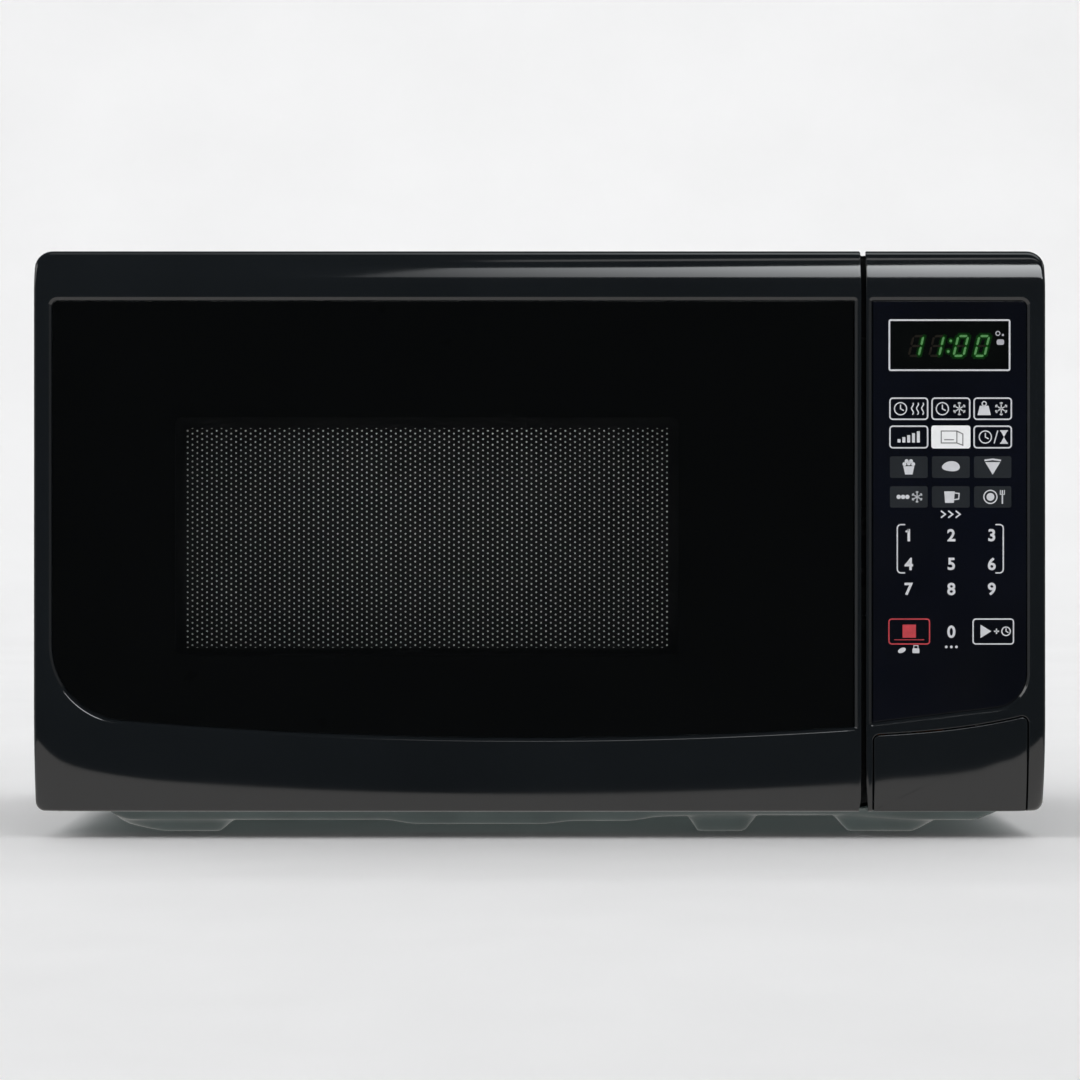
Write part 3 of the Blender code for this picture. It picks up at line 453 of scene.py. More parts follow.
def arc(centre, radius, first, last, count):
    """Plain (x, z) points along an arc."""
    return [point[:2] for point in arc_points(centre, radius, first, last, count)]


NEAR_UPRIGHT = (71, 75, 77.5, 79, 80, 80.7, 81.4, 82.1, 82.8, 83.6, 84.6, 86, 88, 90)  # they end round a corner above


def corner_points(centre, radius, angles):
    """(x, z, outward x, outward z) at each angle, in degrees."""
    return [arc_points(centre, radius, angle, angle, 1)[0] for angle in angles]


def straight(start, end, normal, count):
    """Points strictly between start and end, with one normal."""
    return [(*blend(start, end, i / count), *normal) for i in range(1, count)]


ARC_CENTRE = (GLASS_ARC_X, GLASS_LOW + GLASS_ARC)
LEFT_FOOT = (
    GLASS_LEFT + GLASS_FOOT,
    ARC_CENTRE[1] - math.sqrt((GLASS_ARC - GLASS_FOOT) ** 2 - (GLASS_LEFT + GLASS_FOOT - GLASS_ARC_X) ** 2),
)
PANEL_RISE = 0.035  # how much steeper the lower edge runs under the keypad
PANEL_DROP = 1.3


def lower_edge(x):
    return ARC_CENTRE[1] - math.sqrt(GLASS_ARC**2 - (x - GLASS_ARC_X) ** 2)


def window_outline():
    """The window plate's outline, anticlockwise from its upper right corner, with normals."""
    corner, sharp = 3.5, 1.2
    points = corner_points((GLASS_RIGHT - sharp, GLASS_TOP - sharp), sharp, [0, 20, 40, 55, 65, *NEAR_UPRIGHT])
    points += straight((GLASS_RIGHT - sharp, GLASS_TOP), (GLASS_LEFT + corner, GLASS_TOP), (0, 1), 60)
    points += arc_points((GLASS_LEFT + corner, GLASS_TOP - corner), corner, 90, 180, 28)
    points += straight((GLASS_LEFT, GLASS_TOP - corner), (GLASS_LEFT, LEFT_FOOT[1]), (-1, 0), 40)
    turn = math.degrees(math.asin((LEFT_FOOT[0] - GLASS_ARC_X) / (GLASS_ARC - GLASS_FOOT)))
    points += arc_points(LEFT_FOOT, GLASS_FOOT, 180, 270 + turn, 110)
    end = math.degrees(math.asin((GLASS_RIGHT - sharp - GLASS_ARC_X) / GLASS_ARC))
    points += arc_points(ARC_CENTRE, GLASS_ARC, 270 + turn, 270 + end, 110)[1:]
    foot = lower_edge(GLASS_RIGHT - sharp) + sharp
    points += arc_points((GLASS_RIGHT - sharp, foot), sharp, 270 + end, 360, 44)[1:]
    points += straight((GLASS_RIGHT, foot), (GLASS_RIGHT, GLASS_TOP - sharp), (1, 0), 50)
    return points


def keypad_outline():
    """The keypad's outline, anticlockwise from its upper right corner, with normals."""
    corner, sharp = 3.5, 1.2
    low_left, low_right = keypad_low(KEYPAD_LEFT + sharp), keypad_low(KEYPAD_RIGHT - KEYPAD_FOOT)
    slope = math.atan2(low_right - low_left, KEYPAD_RIGHT - KEYPAD_FOOT - KEYPAD_LEFT - sharp)
    down = (math.sin(slope), -math.cos(slope))
    lean = math.degrees(slope)
    points = arc_points((KEYPAD_RIGHT - corner, GLASS_TOP - corner), corner, 0, 90, 24)
    points += straight((KEYPAD_RIGHT - corner, GLASS_TOP), (KEYPAD_LEFT + sharp, GLASS_TOP), (0, 1), 26)
    turns = [180 - turn for turn in (0, 20, 40, 55, 65, *NEAR_UPRIGHT)][::-1]
    points += corner_points((KEYPAD_LEFT + sharp, GLASS_TOP - sharp), sharp, turns)
    left_centre = (KEYPAD_LEFT + sharp, low_left + sharp / math.cos(slope))
    points += straight((KEYPAD_LEFT, GLASS_TOP - sharp), (KEYPAD_LEFT, left_centre[1]), (-1, 0), 50)
    points += arc_points(left_centre, sharp, 180, 270 + lean, 30)
    right_centre = (KEYPAD_RIGHT - KEYPAD_FOOT, low_right + KEYPAD_FOOT / math.cos(slope))
    start = (left_centre[0] + sharp * down[0], left_centre[1] + sharp * down[1])
    end = (right_centre[0] + KEYPAD_FOOT * down[0], right_centre[1] + KEYPAD_FOOT * down[1])
    points += straight(start, end, down, 40)
    points += arc_points(right_centre, KEYPAD_FOOT, 270 + lean, 360, 70)
    points += straight((KEYPAD_RIGHT, right_centre[1]), (KEYPAD_RIGHT, GLASS_TOP - corner), (1, 0), 44)
    return points


def keypad_low(x):
    return lower_edge(x) + PANEL_RISE * (x - PANEL_LEFT) + PANEL_DROP


RIGHT_FOOT = (KEYPAD_RIGHT - KEYPAD_FOOT, keypad_low(KEYPAD_RIGHT - KEYPAD_FOOT) + KEYPAD_FOOT)


def chin_distance(x, z):
    """How far a point lies outside the line of the window's and keypad's lower edges."""
    radial = Vector((x - ARC_CENTRE[0], z - ARC_CENTRE[1]))
    if z < LEFT_FOOT[1]:
        reach = Vector((x - LEFT_FOOT[0], z - LEFT_FOOT[1]))
        axis = Vector((LEFT_FOOT[0] - ARC_CENTRE[0], LEFT_FOOT[1] - ARC_CENTRE[1]))
        if axis.x * reach.y - axis.y * reach.x < 0 or x < LEFT_FOOT[0] - 30:
            return reach.length - GLASS_FOOT
    elif x < LEFT_FOOT[0]:
        return GLASS_LEFT - x
    below = radial.length - GLASS_ARC
    below += (PANEL_DROP + PANEL_RISE * (x - PANEL_LEFT)) * smooth_step(x, 138, 156)
    if x > RIGHT_FOOT[0] and z < RIGHT_FOOT[1]:
        reach = math.hypot(x - RIGHT_FOOT[0], z - RIGHT_FOOT[1]) - KEYPAD_FOOT
        share = smooth_step(x, RIGHT_FOOT[0], RIGHT_FOOT[0] + 10)
        below = below * (1 - share) + reach * share
    return below if z < 100 else 0.0


def chin_arc(x):
    """The chin's radius at x, on a smooth curve through the stations of CHIN_ARCS."""
    last = len(CHIN_ARCS) - 1
    first = min(last - 1, max(0, sum(station <= x for station, _ in CHIN_ARCS) - 1))

    def slope(k):
        (low_x, low), (high_x, high) = CHIN_ARCS[max(0, k - 1)], CHIN_ARCS[min(last, k + 1)]
        return (high - low) / (high_x - low_x)

    (x0, arc0), (x1, arc1) = CHIN_ARCS[first], CHIN_ARCS[first + 1]
    span = x1 - x0
    t = min(1.0, max(0.0, (x - x0) / span))
    arc = arc0 * (1 + 2 * t) * (1 - t) ** 2 + arc1 * t * t * (3 - 2 * t)
    return arc + span * (slope(first) * t * (1 - t) ** 2 - slope(first + 1) * t * t * (1 - t))


def inside_distance(x, z, sides, radii):
    """Distance inside a rounded rectangle. radii: lower left, lower right, upper right, upper left."""
    left, right, low, high = sides
    middle_x, middle_z = (left + right) / 2, (low + high) / 2
    if x < middle_x:
        radius = radii[0] if z < middle_z else radii[3]
    else:
        radius = radii[1] if z < middle_z else radii[2]
    across = abs(x - middle_x) - (right - left) / 2 + radius
    up = abs(z - middle_z) - (high - low) / 2 + radius
    return radius - math.hypot(max(across, 0), max(up, 0)) - min(max(across, up), 0)


def rolled(edge, radius):
    """How far a rounded edge has turned back at a distance inside it."""
    if edge >= radius:
        return 0.0
    return radius - math.sqrt(max(0.0, radius**2 - (radius - max(edge, 0.0)) ** 2))


def face_depth(x, z, edge=None, gap=None, edge_radius=None):
    """How far the moulded face lies behind its foremost plane, in millimetres."""
    depth = 0.0
    if z > TOP_ARC_START:
        depth += TOP_ARC - math.sqrt(TOP_ARC**2 - (z - TOP_ARC_START) ** 2)
    beyond = chin_distance(x, z) - CHIN_START
    if beyond > 0:
        depth += beyond * beyond / (2 * chin_arc(x))
    if edge is not None:
        radius = edge_radius or EDGE_RADIUS + (TOP_EDGE_RADIUS - EDGE_RADIUS) * smooth_step(z, 240, 250)
        depth += rolled(edge, radius)
    if gap is not None:
        depth += rolled(gap, GAP_RADIUS)
    return depth


def to_boundary(x, z, across, up, sides, radii):
    """Distance from a point along a direction to the rounded rectangle round it."""
    low, high = 0.0, 500.0
    for _ in range(44):
        middle = (low + high) / 2
        if inside_distance(x + across * middle, z + up * middle, sides, radii) > 0:
            low = middle
        else:
            high = middle
    return low


RIM_STEPS = [0.0, 0.04, 0.12, 0.25, 0.45, 0.8]
EDGE_STEPS = [2.8, 2.0, 1.5, 1.1, 0.8, 0.55, 0.35, 0.2, 0.1, 0.04, 0.0]
FACE_ROWS = 26
WALL = 2.4  # thickness of the mouldings' walls


def moulded_frame(name, outline, sides, radii, opening, gap_side):
    """A bezel: rim, curved face, rounded edge, side walls and an open back, as one closed body.

    The rings run from the opening behind the plate, over the face, round the walls and back.
    gap_side is where the door and the panel face each other: 0 for the left and 1 for the right.
    """
    outer = list(sides)  # the sides without the one at the gap, whose edge is nearly sharp
    outer[gap_side] += 30 * (1 if gap_side else -1)
    reach = [to_boundary(x, z, across, up, sides, radii) for x, z, across, up in outline]
    rings = []

    def ring(make):
        rings.append([at(*make(i, *outline[i])) for i in range(len(outline))])

    def rim_base(x, z, across, up):
        return face_depth(x + across * RIM_OUT, z + up * RIM_OUT)

    def opened(i, x, z, depth):
        (left, right), (low, high) = opening
        return min(max(x, left), right), FRONT + depth, min(max(z, low), high)

    ring(lambda i, x, z, a, u: opened(i, x, z, 2.7))
    ring(lambda i, x, z, a, u: (x - a * (RIM_IN - 0.05), FRONT + 2.7, z - u * (RIM_IN - 0.05)))
    for k in range(6):  # the foot of the sloping rim
        share = k / 5
        grow = -RIM_IN + share * share * 0.25
        depth = 2.6 + (RIM_DEPTH - 2.6) * (share if k else 0.0)
        ring(lambda i, x, z, a, u, g=grow, d=depth: (x + a * g, FRONT + d, z + u * g))
    span = RIM_OUT + RIM_IN - 0.25
    for k in range(1, 9):  # the slope, rounded over at its top
        share = k / 8
        grow = -RIM_IN + 0.25 + span * share
        depth = RIM_DEPTH * (1 - smooth_step(share, -0.25, 1.12)) * 1.06
        ring(lambda i, x, z, a, u, g=grow, d=depth: (x + a * g, FRONT + d + rim_base(x, z, a, u), z + u * g))

    def on_face(i, x, z, across, up, gone):
        px, pz = x + across * gone, z + up * gone
        edge = inside_distance(px, pz, outer, radii)
        return px, FRONT + face_depth(px, pz, edge, abs(px - sides[gap_side])), pz

    for step in RIM_STEPS[1:]:
        ring(lambda i, x, z, a, u, s=step: on_face(i, x, z, a, u, RIM_OUT + s * min(1.0, (reach[i] - RIM_OUT) / 4)))
    for k in range(1, FACE_ROWS):
        share = k / FACE_ROWS

        def middle(i, x, z, a, u, s=share):
            room = reach[i] - RIM_OUT
            scale = min(1.0, room / 4)
            first, last = RIM_OUT + RIM_STEPS[-1] * scale, reach[i] - EDGE_STEPS[0] * min(1.0, room / 6)
            return on_face(i, x, z, a, u, first + (last - first) * s)

        ring(middle)
    for step in EDGE_STEPS:
        ring(lambda i, x, z, a, u, s=step: on_face(i, x, z, a, u, reach[i] - s * min(1.0, (reach[i] - RIM_OUT) / 6)))

    def wall_point(i, x, z, across, up, inset, y):
        px, pz = x + across * reach[i], z + up * reach[i]
        for _ in range(6):
            here = inside_distance(px, pz, sides, radii)
            if inset - here <= 1e-6:
                break
            slope_x = inside_distance(px + 0.01, pz, sides, radii) - here
            slope_z = inside_distance(px, pz + 0.01, sides, radii) - here
            size = math.hypot(slope_x, slope_z)
            px, pz = px + slope_x / size * (inset - here), pz + slope_z / size * (inset - here)
        return px, y, pz

    for inset, y in ((0.0, FACE_BACK - 0.4), (0.15, FACE_BACK - 0.1), (0.4, FACE_BACK)):
        ring(lambda i, x, z, a, u, n=inset, b=y: wall_point(i, x, z, a, u, n, b))
    ring(lambda i, x, z, a, u: wall_point(i, x, z, a, u, WALL, FACE_BACK))
    ring(lambda i, x, z, a, u: wall_point(i, x, z, a, u, WALL, FRONT + 10))
    ring(lambda i, x, z, a, u: opened(i, x, z, 4.4))
    return closed(name, rings, 50, loop=True)


# ---------------------------------------------------------------- door


HINGE_PIVOT = (-213.0, -137.4)
TONGUES = ((246.0, 247.5), (15.5, 17.0))
DOOR_OPENING = ((-182, 92), (60, 205))  # behind the window


def door_bezel():
    sides, radii = (LEFT, DOOR_RIGHT, FACE_BOTTOM, FACE_TOP), (FOOT_CORNER, 1.0, 1.0, TOP_CORNER)
    mesh = moulded_frame("door_bezel", window_outline(), sides, radii, DOOR_OPENING, 1)
    reliefs = [cutter_box((LEFT - 5, HINGE_PIVOT[0] - 0.5), (HINGE_PIVOT[1] + 3.4, 0), (0, FACE_TOP + 5))]
    for low, high in TONGUES:
        reliefs.append(cutter_box((LEFT - 5, LEFT + 5), (HINGE_PIVOT[1] - 6, 0), (low - 1.5, high + 1.5)))
    mesh = carve(mesh, reliefs, sharp=50)
    piece_from("door_bezel_moulding", mesh, "door", "bezel", ["door_bezel"])


def plate_rings(outline, y_front, y_back, inset, rounding):
    """Rings for a flat plate with a rounded front edge."""
    rings = [[at(x - a * inset, y_back, z - u * inset) for x, z, a, u in outline]]
    for k in range(5):
        angle = math.pi / 2 * k / 4
        grow = inset + rounding * (1 - math.cos(angle))
        y = y_front + rounding * (1 - math.sin(angle))
        rings.append([at(x - a * grow, y, z - u * grow) for x, z, a, u in outline])
    flat = inset + rounding + 0.15
    rings.append([at(x - a * flat, y_front, z - u * flat) for x, z, a, u in outline])
    return rings


def door_window():
    """A clear plate with a black print on its rear that leaves the middle clear."""
    outline = window_outline()
    front = FRONT + RIM_DEPTH - 0.25
    mesh = closed("door_window", plate_rings(outline, front, front + 1.1, RIM_IN + 0.08, 0.12))
    piece_from("door_window_plate", mesh, "door", "window", ["door_window"], "window_glass")

    back, inset = front + 1.12, RIM_IN + 0.2
    rings = [[at(x - a * inset, y, z - u * inset) for x, z, a, u in outline] for y in (back, back + 0.15)]
    print_mesh = closed("door_window_print", rings, 60)
    field = cutter_prism(rounded_rectangle(*CLEAR_X, *CLEAR_Z, 3.0, 8), (back - 2, back + 2))
    mesh = carve(print_mesh, [field])
    piece_from("door_window_print", mesh, "door", "window")


def add_perforated(edit, x_range, z_range, y_front, thick):
    """A sheet of staggered hexagonal holes. Each cell is a hexagon with a smaller one cut out of it."""
    columns = int((x_range[1] - x_range[0]) / HOLE_PITCH_X)
    rows = int((z_range[1] - z_range[0]) / HOLE_PITCH_Z)
    start_x = (x_range[0] + x_range[1] - (columns - 1) * HOLE_PITCH_X) / 2
    start_z = (z_range[0] + z_range[1] - (rows - 0.5) * HOLE_PITCH_Z) / 2
    px, pz = HOLE_PITCH_X, HOLE_PITCH_Z
    # A cell's corners in a staggered lattice: two on its column's line, four between columns
    lean = (pz * pz / 4) / (2 * px)
    outer = [(px / 2 + lean, 0), (px / 2 - lean, pz / 2), (-px / 2 + lean, pz / 2)]
    outer += [(-px / 2 - lean, 0), (-px / 2 + lean, -pz / 2), (px / 2 - lean, -pz / 2)]
    inner = [(HOLE_SIZE / 2 * math.cos(math.pi / 3 * k), HOLE_SIZE / 2 * math.sin(math.pi / 3 * k)) for k in range(6)]
    known = {}

    def vert(x, y, z):
        key = (round(x * 1000), round(y * 1000), round(z * 1000))
        if key not in known:
            known[key] = edit.verts.new(at(x, y, z))
        return known[key]

    for column in range(columns):
        for row in range(rows):
            cx = start_x + column * px
            cz = start_z + (row + 0.5 * (column % 2)) * pz
            front = [[vert(cx + x, y_front, cz + z) for x, z in shape] for shape in (outer, inner)]
            back = [[vert(cx + x, y_front + thick, cz + z) for x, z in shape] for shape in (outer, inner)]
            for k in range(6):
                m = (k + 1) % 6
                edit.faces.new((front[0][k], front[0][m], front[1][m], front[1][k]))
                edit.faces.new((back[0][m], back[0][k], back[1][k], back[1][m]))
                edit.faces.new((front[1][k], front[1][m], back[1][m], back[1][k]))


def door_screen():
    """The choke pressing, with real holes in its middle."""
    thick = 0.6
    copy = NODES["door_screen"].data.copy()
    opening = cutter_box((SCREEN_X[0] + 1.5, SCREEN_X[1] - 1.5), (-140, -130), (SCREEN_Z[0] + 1.5, SCREEN_Z[1] - 1.5))
    mesh = carve(copy, [opening])
    mesh.name = "door_screen"
    piece_from("door_choke_pressing", mesh, "door", "screen_paint", ["door_screen"])
    edit = bmesh.new()
    add_perforated(edit, SCREEN_X, SCREEN_Z, SCREEN_Y - 0.02, thick)
    mesh = bpy.data.meshes.new("door_screen_holes")
    bmesh.ops.recalc_face_normals(edit, faces=edit.faces)
    edit.to_mesh(mesh)
    edit.free()
    piece_from("door_screen_holes", mesh, "door", "screen_paint")


def latch_spring():
    """A wound coil in the place of the latch spring's solid."""
    lower, upper = (Vector(corner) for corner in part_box("latch_spring"))
    wire, turns, per_turn, sides = 0.45 * MM, 7, 28, 8
    radius = (upper.x - lower.x) / 2 - wire
    middle = (lower + upper) / 2
    low, high = lower.z + wire * 1.4, upper.z - wire * 1.4
    rings = []
    for i in range(turns * per_turn + 1):
        turn = 2 * math.pi * i / per_turn
        out = Vector((math.cos(turn), math.sin(turn), 0))
        centre = Vector((middle.x, middle.y, low + (high - low) * i / (turns * per_turn))) + out * radius
        rings.append([centre + out * wire * math.cos(a) + Vector((0, 0, wire * math.sin(a)))
                      for a in steps_round(sides)])
    mesh = closed("latch_spring", rings)
    spring = piece_from("latch_spring_coil", mesh, "door", "steel", ["latch_spring"])
    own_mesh(spring)


# ---------------------------------------------------------------- control panel


BUTTON_X = (145.4, 212.3)
BUTTON_GAP = 0.45
PANEL_OPENING = ((150, 207), (66, 226))  # behind the keypad


def button_top(x):
    """Height of the button's upper edge, which runs with the chin's line."""
    share = (x - BUTTON_X[0]) / (BUTTON_X[1] - BUTTON_X[0])
    return 42.7 + 3.7 * share + 4.9 * share**2.6


def button_outline(grow):
    """(x, z, outward x, outward z) round the button, anticlockwise from the lower right."""
    left, right, low = BUTTON_X[0] - grow, BUTTON_X[1] + grow, FACE_BOTTOM - grow
    corner, sharp = 2.6 + grow, 0.8 + grow
    points = arc_points((right - sharp, low + sharp), sharp, 270, 360, 6)
    top_right = button_top(BUTTON_X[1] - 2.6) + grow
    lean = math.degrees(math.atan((button_top(BUTTON_X[1] - 3) - button_top(BUTTON_X[1] - 6)) / 3))
    points += straight((right, low + sharp), (right, top_right - corner), (1, 0), 24)
    points += arc_points((right - corner, top_right - corner), corner, 0, 90 + lean, 12)
    count = 60
    first, last = points[-1][0], left + corner
    for i in range(1, count):
        x = first + (last - first) * i / count
        slope = (button_top(x + 0.1) - button_top(x - 0.1)) / 0.2
        size = math.hypot(1, slope)
        points.append((x, button_top(x) + grow, -slope / size, 1 / size))
    top_left = button_top(BUTTON_X[0] + 2.6) + grow
    points += arc_points((left + corner, top_left - corner), corner, 93, 180, 12)
    points += straight((left, top_left - corner), (left, low + sharp), (-1, 0), 24)
    points += arc_points((left + sharp, low + sharp), sharp, 180, 270, 6)
    points += straight((left + sharp, low), (right - sharp, low), (0, -1), 50)
    return points


def control_panel():
    sides, radii = (PANEL_LEFT, RIGHT, FACE_BOTTOM, FACE_TOP), (1.0, FOOT_CORNER, TOP_CORNER, 1.0)
    mesh = moulded_frame("control_panel", keypad_outline(), sides, radii, PANEL_OPENING, 0)
    outline, rounding = button_outline(BUTTON_GAP), 0.5
    rings = [[at(x + a * rounding, FRONT - 5, z + u * rounding) for x, z, a, u in outline]]
    for k in range(6):  # the hole's edge is rounded over
        turn = math.pi / 2 * k / 5
        grow, sunk = rounding * (1 - math.sin(turn)), rounding * (1 - math.cos(turn)) - 0.02
        rings.append([at(x + a * grow, FRONT + face_depth(x, z) + sunk, z + u * grow) for x, z, a, u in outline])
    rings.append([at(x, -150, z) for x, z, _, _ in outline])
    mesh = carve(mesh, [linked("cutter", closed("cutter", rings))], sharp=50)
    piece_from("control_panel_moulding", mesh, "cabinet", "bezel", ["control_panel_frame"])


def open_button():
    """A hollow cap whose face carries the chin's curve on, with its rib."""
    outline = button_outline(0.0)
    centre = (sum(BUTTON_X) / 2, 26.0)
    sunk, radius, wall, roof, skirt = 0.15, 0.7, 2.0, FRONT + 6.0, FRONT + 12.0

    def face(x, z, edge):
        return FRONT + sunk + face_depth(x, z, edge, None, radius)

    rings = [[at(x - a * wall, y, z - u * wall) for x, z, a, u in outline] for y in (roof, skirt)]
    rings.append([at(x, skirt, z) for x, z, a, u in outline])
    for edge in (0.0, 0.02, 0.06, 0.13, 0.22, 0.35, 0.5, 0.7, 1.0):
        rings.append([at(x - a * edge, face(x, z, edge), z - u * edge) for x, z, a, u in outline])
    steps = 26
    for k in range(1, steps):
        share = k / steps
        ring = []
        for x, z, across, up in outline:
            px, pz = blend((x - across, z - up), centre, share)
            ring.append(at(px, face(px, pz, 5.0), pz))
        rings.append(ring)
    edit = bmesh.new()
    rows = add_rings(edit, rings, cap_first=True)
    tip = edit.verts.new(at(centre[0], face(*centre, 5.0), centre[1]))
    last = rows[-1]
    for i in range(len(last)):
        edit.faces.new((last[i], last[(i + 1) % len(last)], tip))
    mesh = finished(edit, "open_button", 50)
    rib = cutter_box((157, 163), (FRONT + 5, -127.6), (41.8, 43.8))
    mesh = carve(mesh, [rib], "UNION", 50)
    piece_from("open_button_cap", mesh, "button", "bezel", ["open_button"])


# ---------------------------------------------------------------- keypad and its print


KEYPAD_Y = FRONT + 0.9  # front of the membrane
DISPLAY_FRAME = ((151.8, 204.8), (201.2, 223.7))  # outside of the printed frame


def keypad_membrane():
    """The printed film, with an opening for the display's lens."""
    mesh = closed("keypad_membrane", plate_rings(keypad_outline(), KEYPAD_Y, KEYPAD_Y + 0.8, RIM_IN + 0.08, 0.1))
    (left, right), (low, high) = DISPLAY_FRAME
    hole = rounded_rectangle(left + 1.0, right - 1.0, low + 1.0, high - 1.0, 0.8)
    mesh = carve(mesh, [cutter_prism(hole, (FRONT - 2, FRONT + 4))])
    piece_from("keypad_film", mesh, "cabinet", "keypad", ["keypad_membrane"])


def rounded_rectangle(left, right, low, high, corner, count=6):
    """Plain (x, z) points, anticlockwise from the upper right corner."""
    points = []
    for k, (x, z) in enumerate(((right, high), (left, high), (left, low), (right, low))):
        centre = (x - corner if x == right else x + corner, z - corner if z == high else z + corner)
        points += arc(centre, corner, 90 * k, 90 * k + 90, count)
    return points


class Print:
    """Flat marks of one colour, as thin closed shapes just in front of the film."""

    def __init__(self, y=KEYPAD_Y, thick=0.05):
        self.edit = bmesh.new()
        self.back, self.front = y - 0.01, y - 0.01 - thick

    def solid(self, points):
        """A filled outline."""
        rings = [[at(x, y, z) for x, z in points] for y in (self.back, self.front)]
        add_rings(self.edit, rings, cap_first=True, cap_last=True)

    def band(self, outside, inside):
        """The band between two outlines with equally many points."""
        rings = [[at(x, self.back, z) for x, z in inside], [at(x, self.back, z) for x, z in outside]]
        rings += [[at(x, self.front, z) for x, z in outside], [at(x, self.front, z) for x, z in inside]]
        add_rings(self.edit, rings, loop=True)

    def frame(self, left, right, low, high, width, corner=1.2):
        outside = rounded_rectangle(left, right, low, high, corner)
        inside = rounded_rectangle(left + width, right - width, low + width, high - width, max(0.2, corner - width))
        self.band(outside, inside)

    def pad(self, left, right, low, high, corner=0.8):
        self.solid(rounded_rectangle(left, right, low, high, corner))

    def disc(self, x, z, radius):
        self.solid(arc((x, z), radius, 0, 345, 23))

    def ring(self, x, z, radius, width):
        self.band(arc((x, z), radius, 0, 348, 29), arc((x, z), radius - width, 0, 348, 29))

    def line(self, points, width):
        """A stroke of even width through the points, with square ends."""
        half, left, right = width / 2, [], []
        vectors = [Vector(p) for p in points]
        for i, point in enumerate(vectors):
            before = (point - vectors[i - 1]).normalized() if i else None
            after = (vectors[i + 1] - point).normalized() if i + 1 < len(vectors) else None
            along = ((before or after) + (after or before)).normalized()
            side = Vector((-along.y, along.x))
            stretch = 1.0 if before is None or after is None else 1 / max(0.4, along.dot(after))
            left.append(point + side * half * stretch)
            right.append(point - side * half * stretch)
        for i in range(len(points) - 1):
            self.solid([left[i], right[i], right[i + 1], left[i + 1]])

    def digits(self, text, x, z):
        """Plain bold numerals, centred on a point."""
        curve = bpy.data.curves.new("digits", "FONT")
        curve.body = text
        curve.size = DIGIT_SIZE / 0.72 * MM  # a numeral is 0.72 of the font's size
        curve.align_x = "CENTER"
        curve.align_y = "CENTER"
        curve.offset = DIGIT_BOLD * MM
        curve.resolution_u = 4
        curve.extrude = (self.back - self.front) / 2 * MM
        mesh = evaluated(linked("digits", curve), "digits")
        xs, ys = [v.co.x for v in mesh.vertices], [v.co.y for v in mesh.vertices]
        middle = Vector(((min(xs) + max(xs)) / 2, (min(ys) + max(ys)) / 2, 0))
        place = Matrix.Translation(at(x, (self.back + self.front) / 2, z)) @ Matrix.Rotation(math.pi / 2, 4, "X")
        mesh.transform(place @ Matrix.Translation(-middle))
        self.edit.from_mesh(mesh)
        bpy.data.meshes.remove(mesh)

    def finish(self, name, material, slot="keypad"):
        piece_from(name, finished(self.edit, name, 30), "cabinet", slot, material=material)


KEY_X = ((152.1, 169.1), (170.4, 187.4), (188.7, 205.5))
KEY_ROWS = ((179.9, 189.7), (167.5, 177.5), (154.7, 164.1), (141.8, 151.1))
DIGIT_X, DIGIT_Z = (160.6, 179.1, 196.7), (129.8, 117.3, 106.4)
DIGIT_SIZE, DIGIT_BOLD = 5.2, 0.2
STROKE = 0.5


def clock_mark(marks, x, z, radius=2.9):
    marks.ring(x, z, radius, STROKE)
    marks.line([(x, z + radius * 0.62), (x, z), (x + radius * 0.5, z - radius * 0.28)], STROKE)


def snow_mark(marks, x, z, radius=2.9):
    for k in range(3):
        angle = math.pi / 3 * k + math.pi / 6
        across, up = math.cos(angle) * radius, math.sin(angle) * radius
        marks.line([(x - across, z - up), (x + across, z + up)], STROKE * 0.9)
    for k in range(6):
        angle = math.pi / 3 * k + math.pi / 6
        tip = Vector((x + math.cos(angle) * radius * 0.62, z + math.sin(angle) * radius * 0.62))
        for side in (-0.6, 0.6):
            end = tip + Vector((math.cos(angle + side), math.sin(angle + side))) * radius * 0.36
            marks.line([tuple(tip), tuple(end)], STROKE * 0.8)


def weight_mark(marks, x, z):
    marks.solid([(x - 2.9, z - 2.8), (x + 2.9, z - 2.8), (x + 1.9, z + 1.3), (x - 1.9, z + 1.3)])
    marks.ring(x, z + 2.2, 1.15, STROKE)


def print_mode_keys(white, bright, dark):
    """Two rows of outlined keys; the middle one of the second row is solid."""
    for row in range(2):
        low, high = KEY_ROWS[row]
        for column, (left, right) in enumerate(KEY_X):
            if row == 1 and column == 1:
                bright.pad(left, right, low, high, 1.1)
            else:
                white.frame(left, right, low, high, 0.62, 1.6)
    middle = [sum(span) / 2 for span in KEY_X]
    upper, lower = sum(KEY_ROWS[0]) / 2, sum(KEY_ROWS[1]) / 2
    clock_mark(white, middle[0] - 3.6, upper)
    for k in range(3):  # rising warmth beside the clock
        wave = [(middle[0] + 1.6 + k * 2.2 + 0.45 * math.sin(t * 1.25), upper - 2.6 + t * 0.74) for t in range(8)]
        white.line(wave, STROKE)
    clock_mark(white, middle[1] - 3.7, upper)
    snow_mark(white, middle[1] + 3.7, upper)
    weight_mark(white, middle[2] - 3.7, upper)
    snow_mark(white, middle[2] + 3.7, upper)
    for k in range(5):
        x = middle[0] - 4.9 + k * 2.1
        top = lower - 0.9 + k * 0.85
        white.solid([(x, lower - 2.4), (x + 1.3, lower - 2.4), (x + 1.3, top), (x, top)])
    door_mark(dark, middle[1], lower)
    clock_mark(white, middle[2] - 3.2, lower)
    white.line([(middle[2] + 0.6, lower - 2.8), (middle[2] + 2.2, lower + 2.8)], STROKE)
    hourglass(white, middle[2] + 4.9, lower)


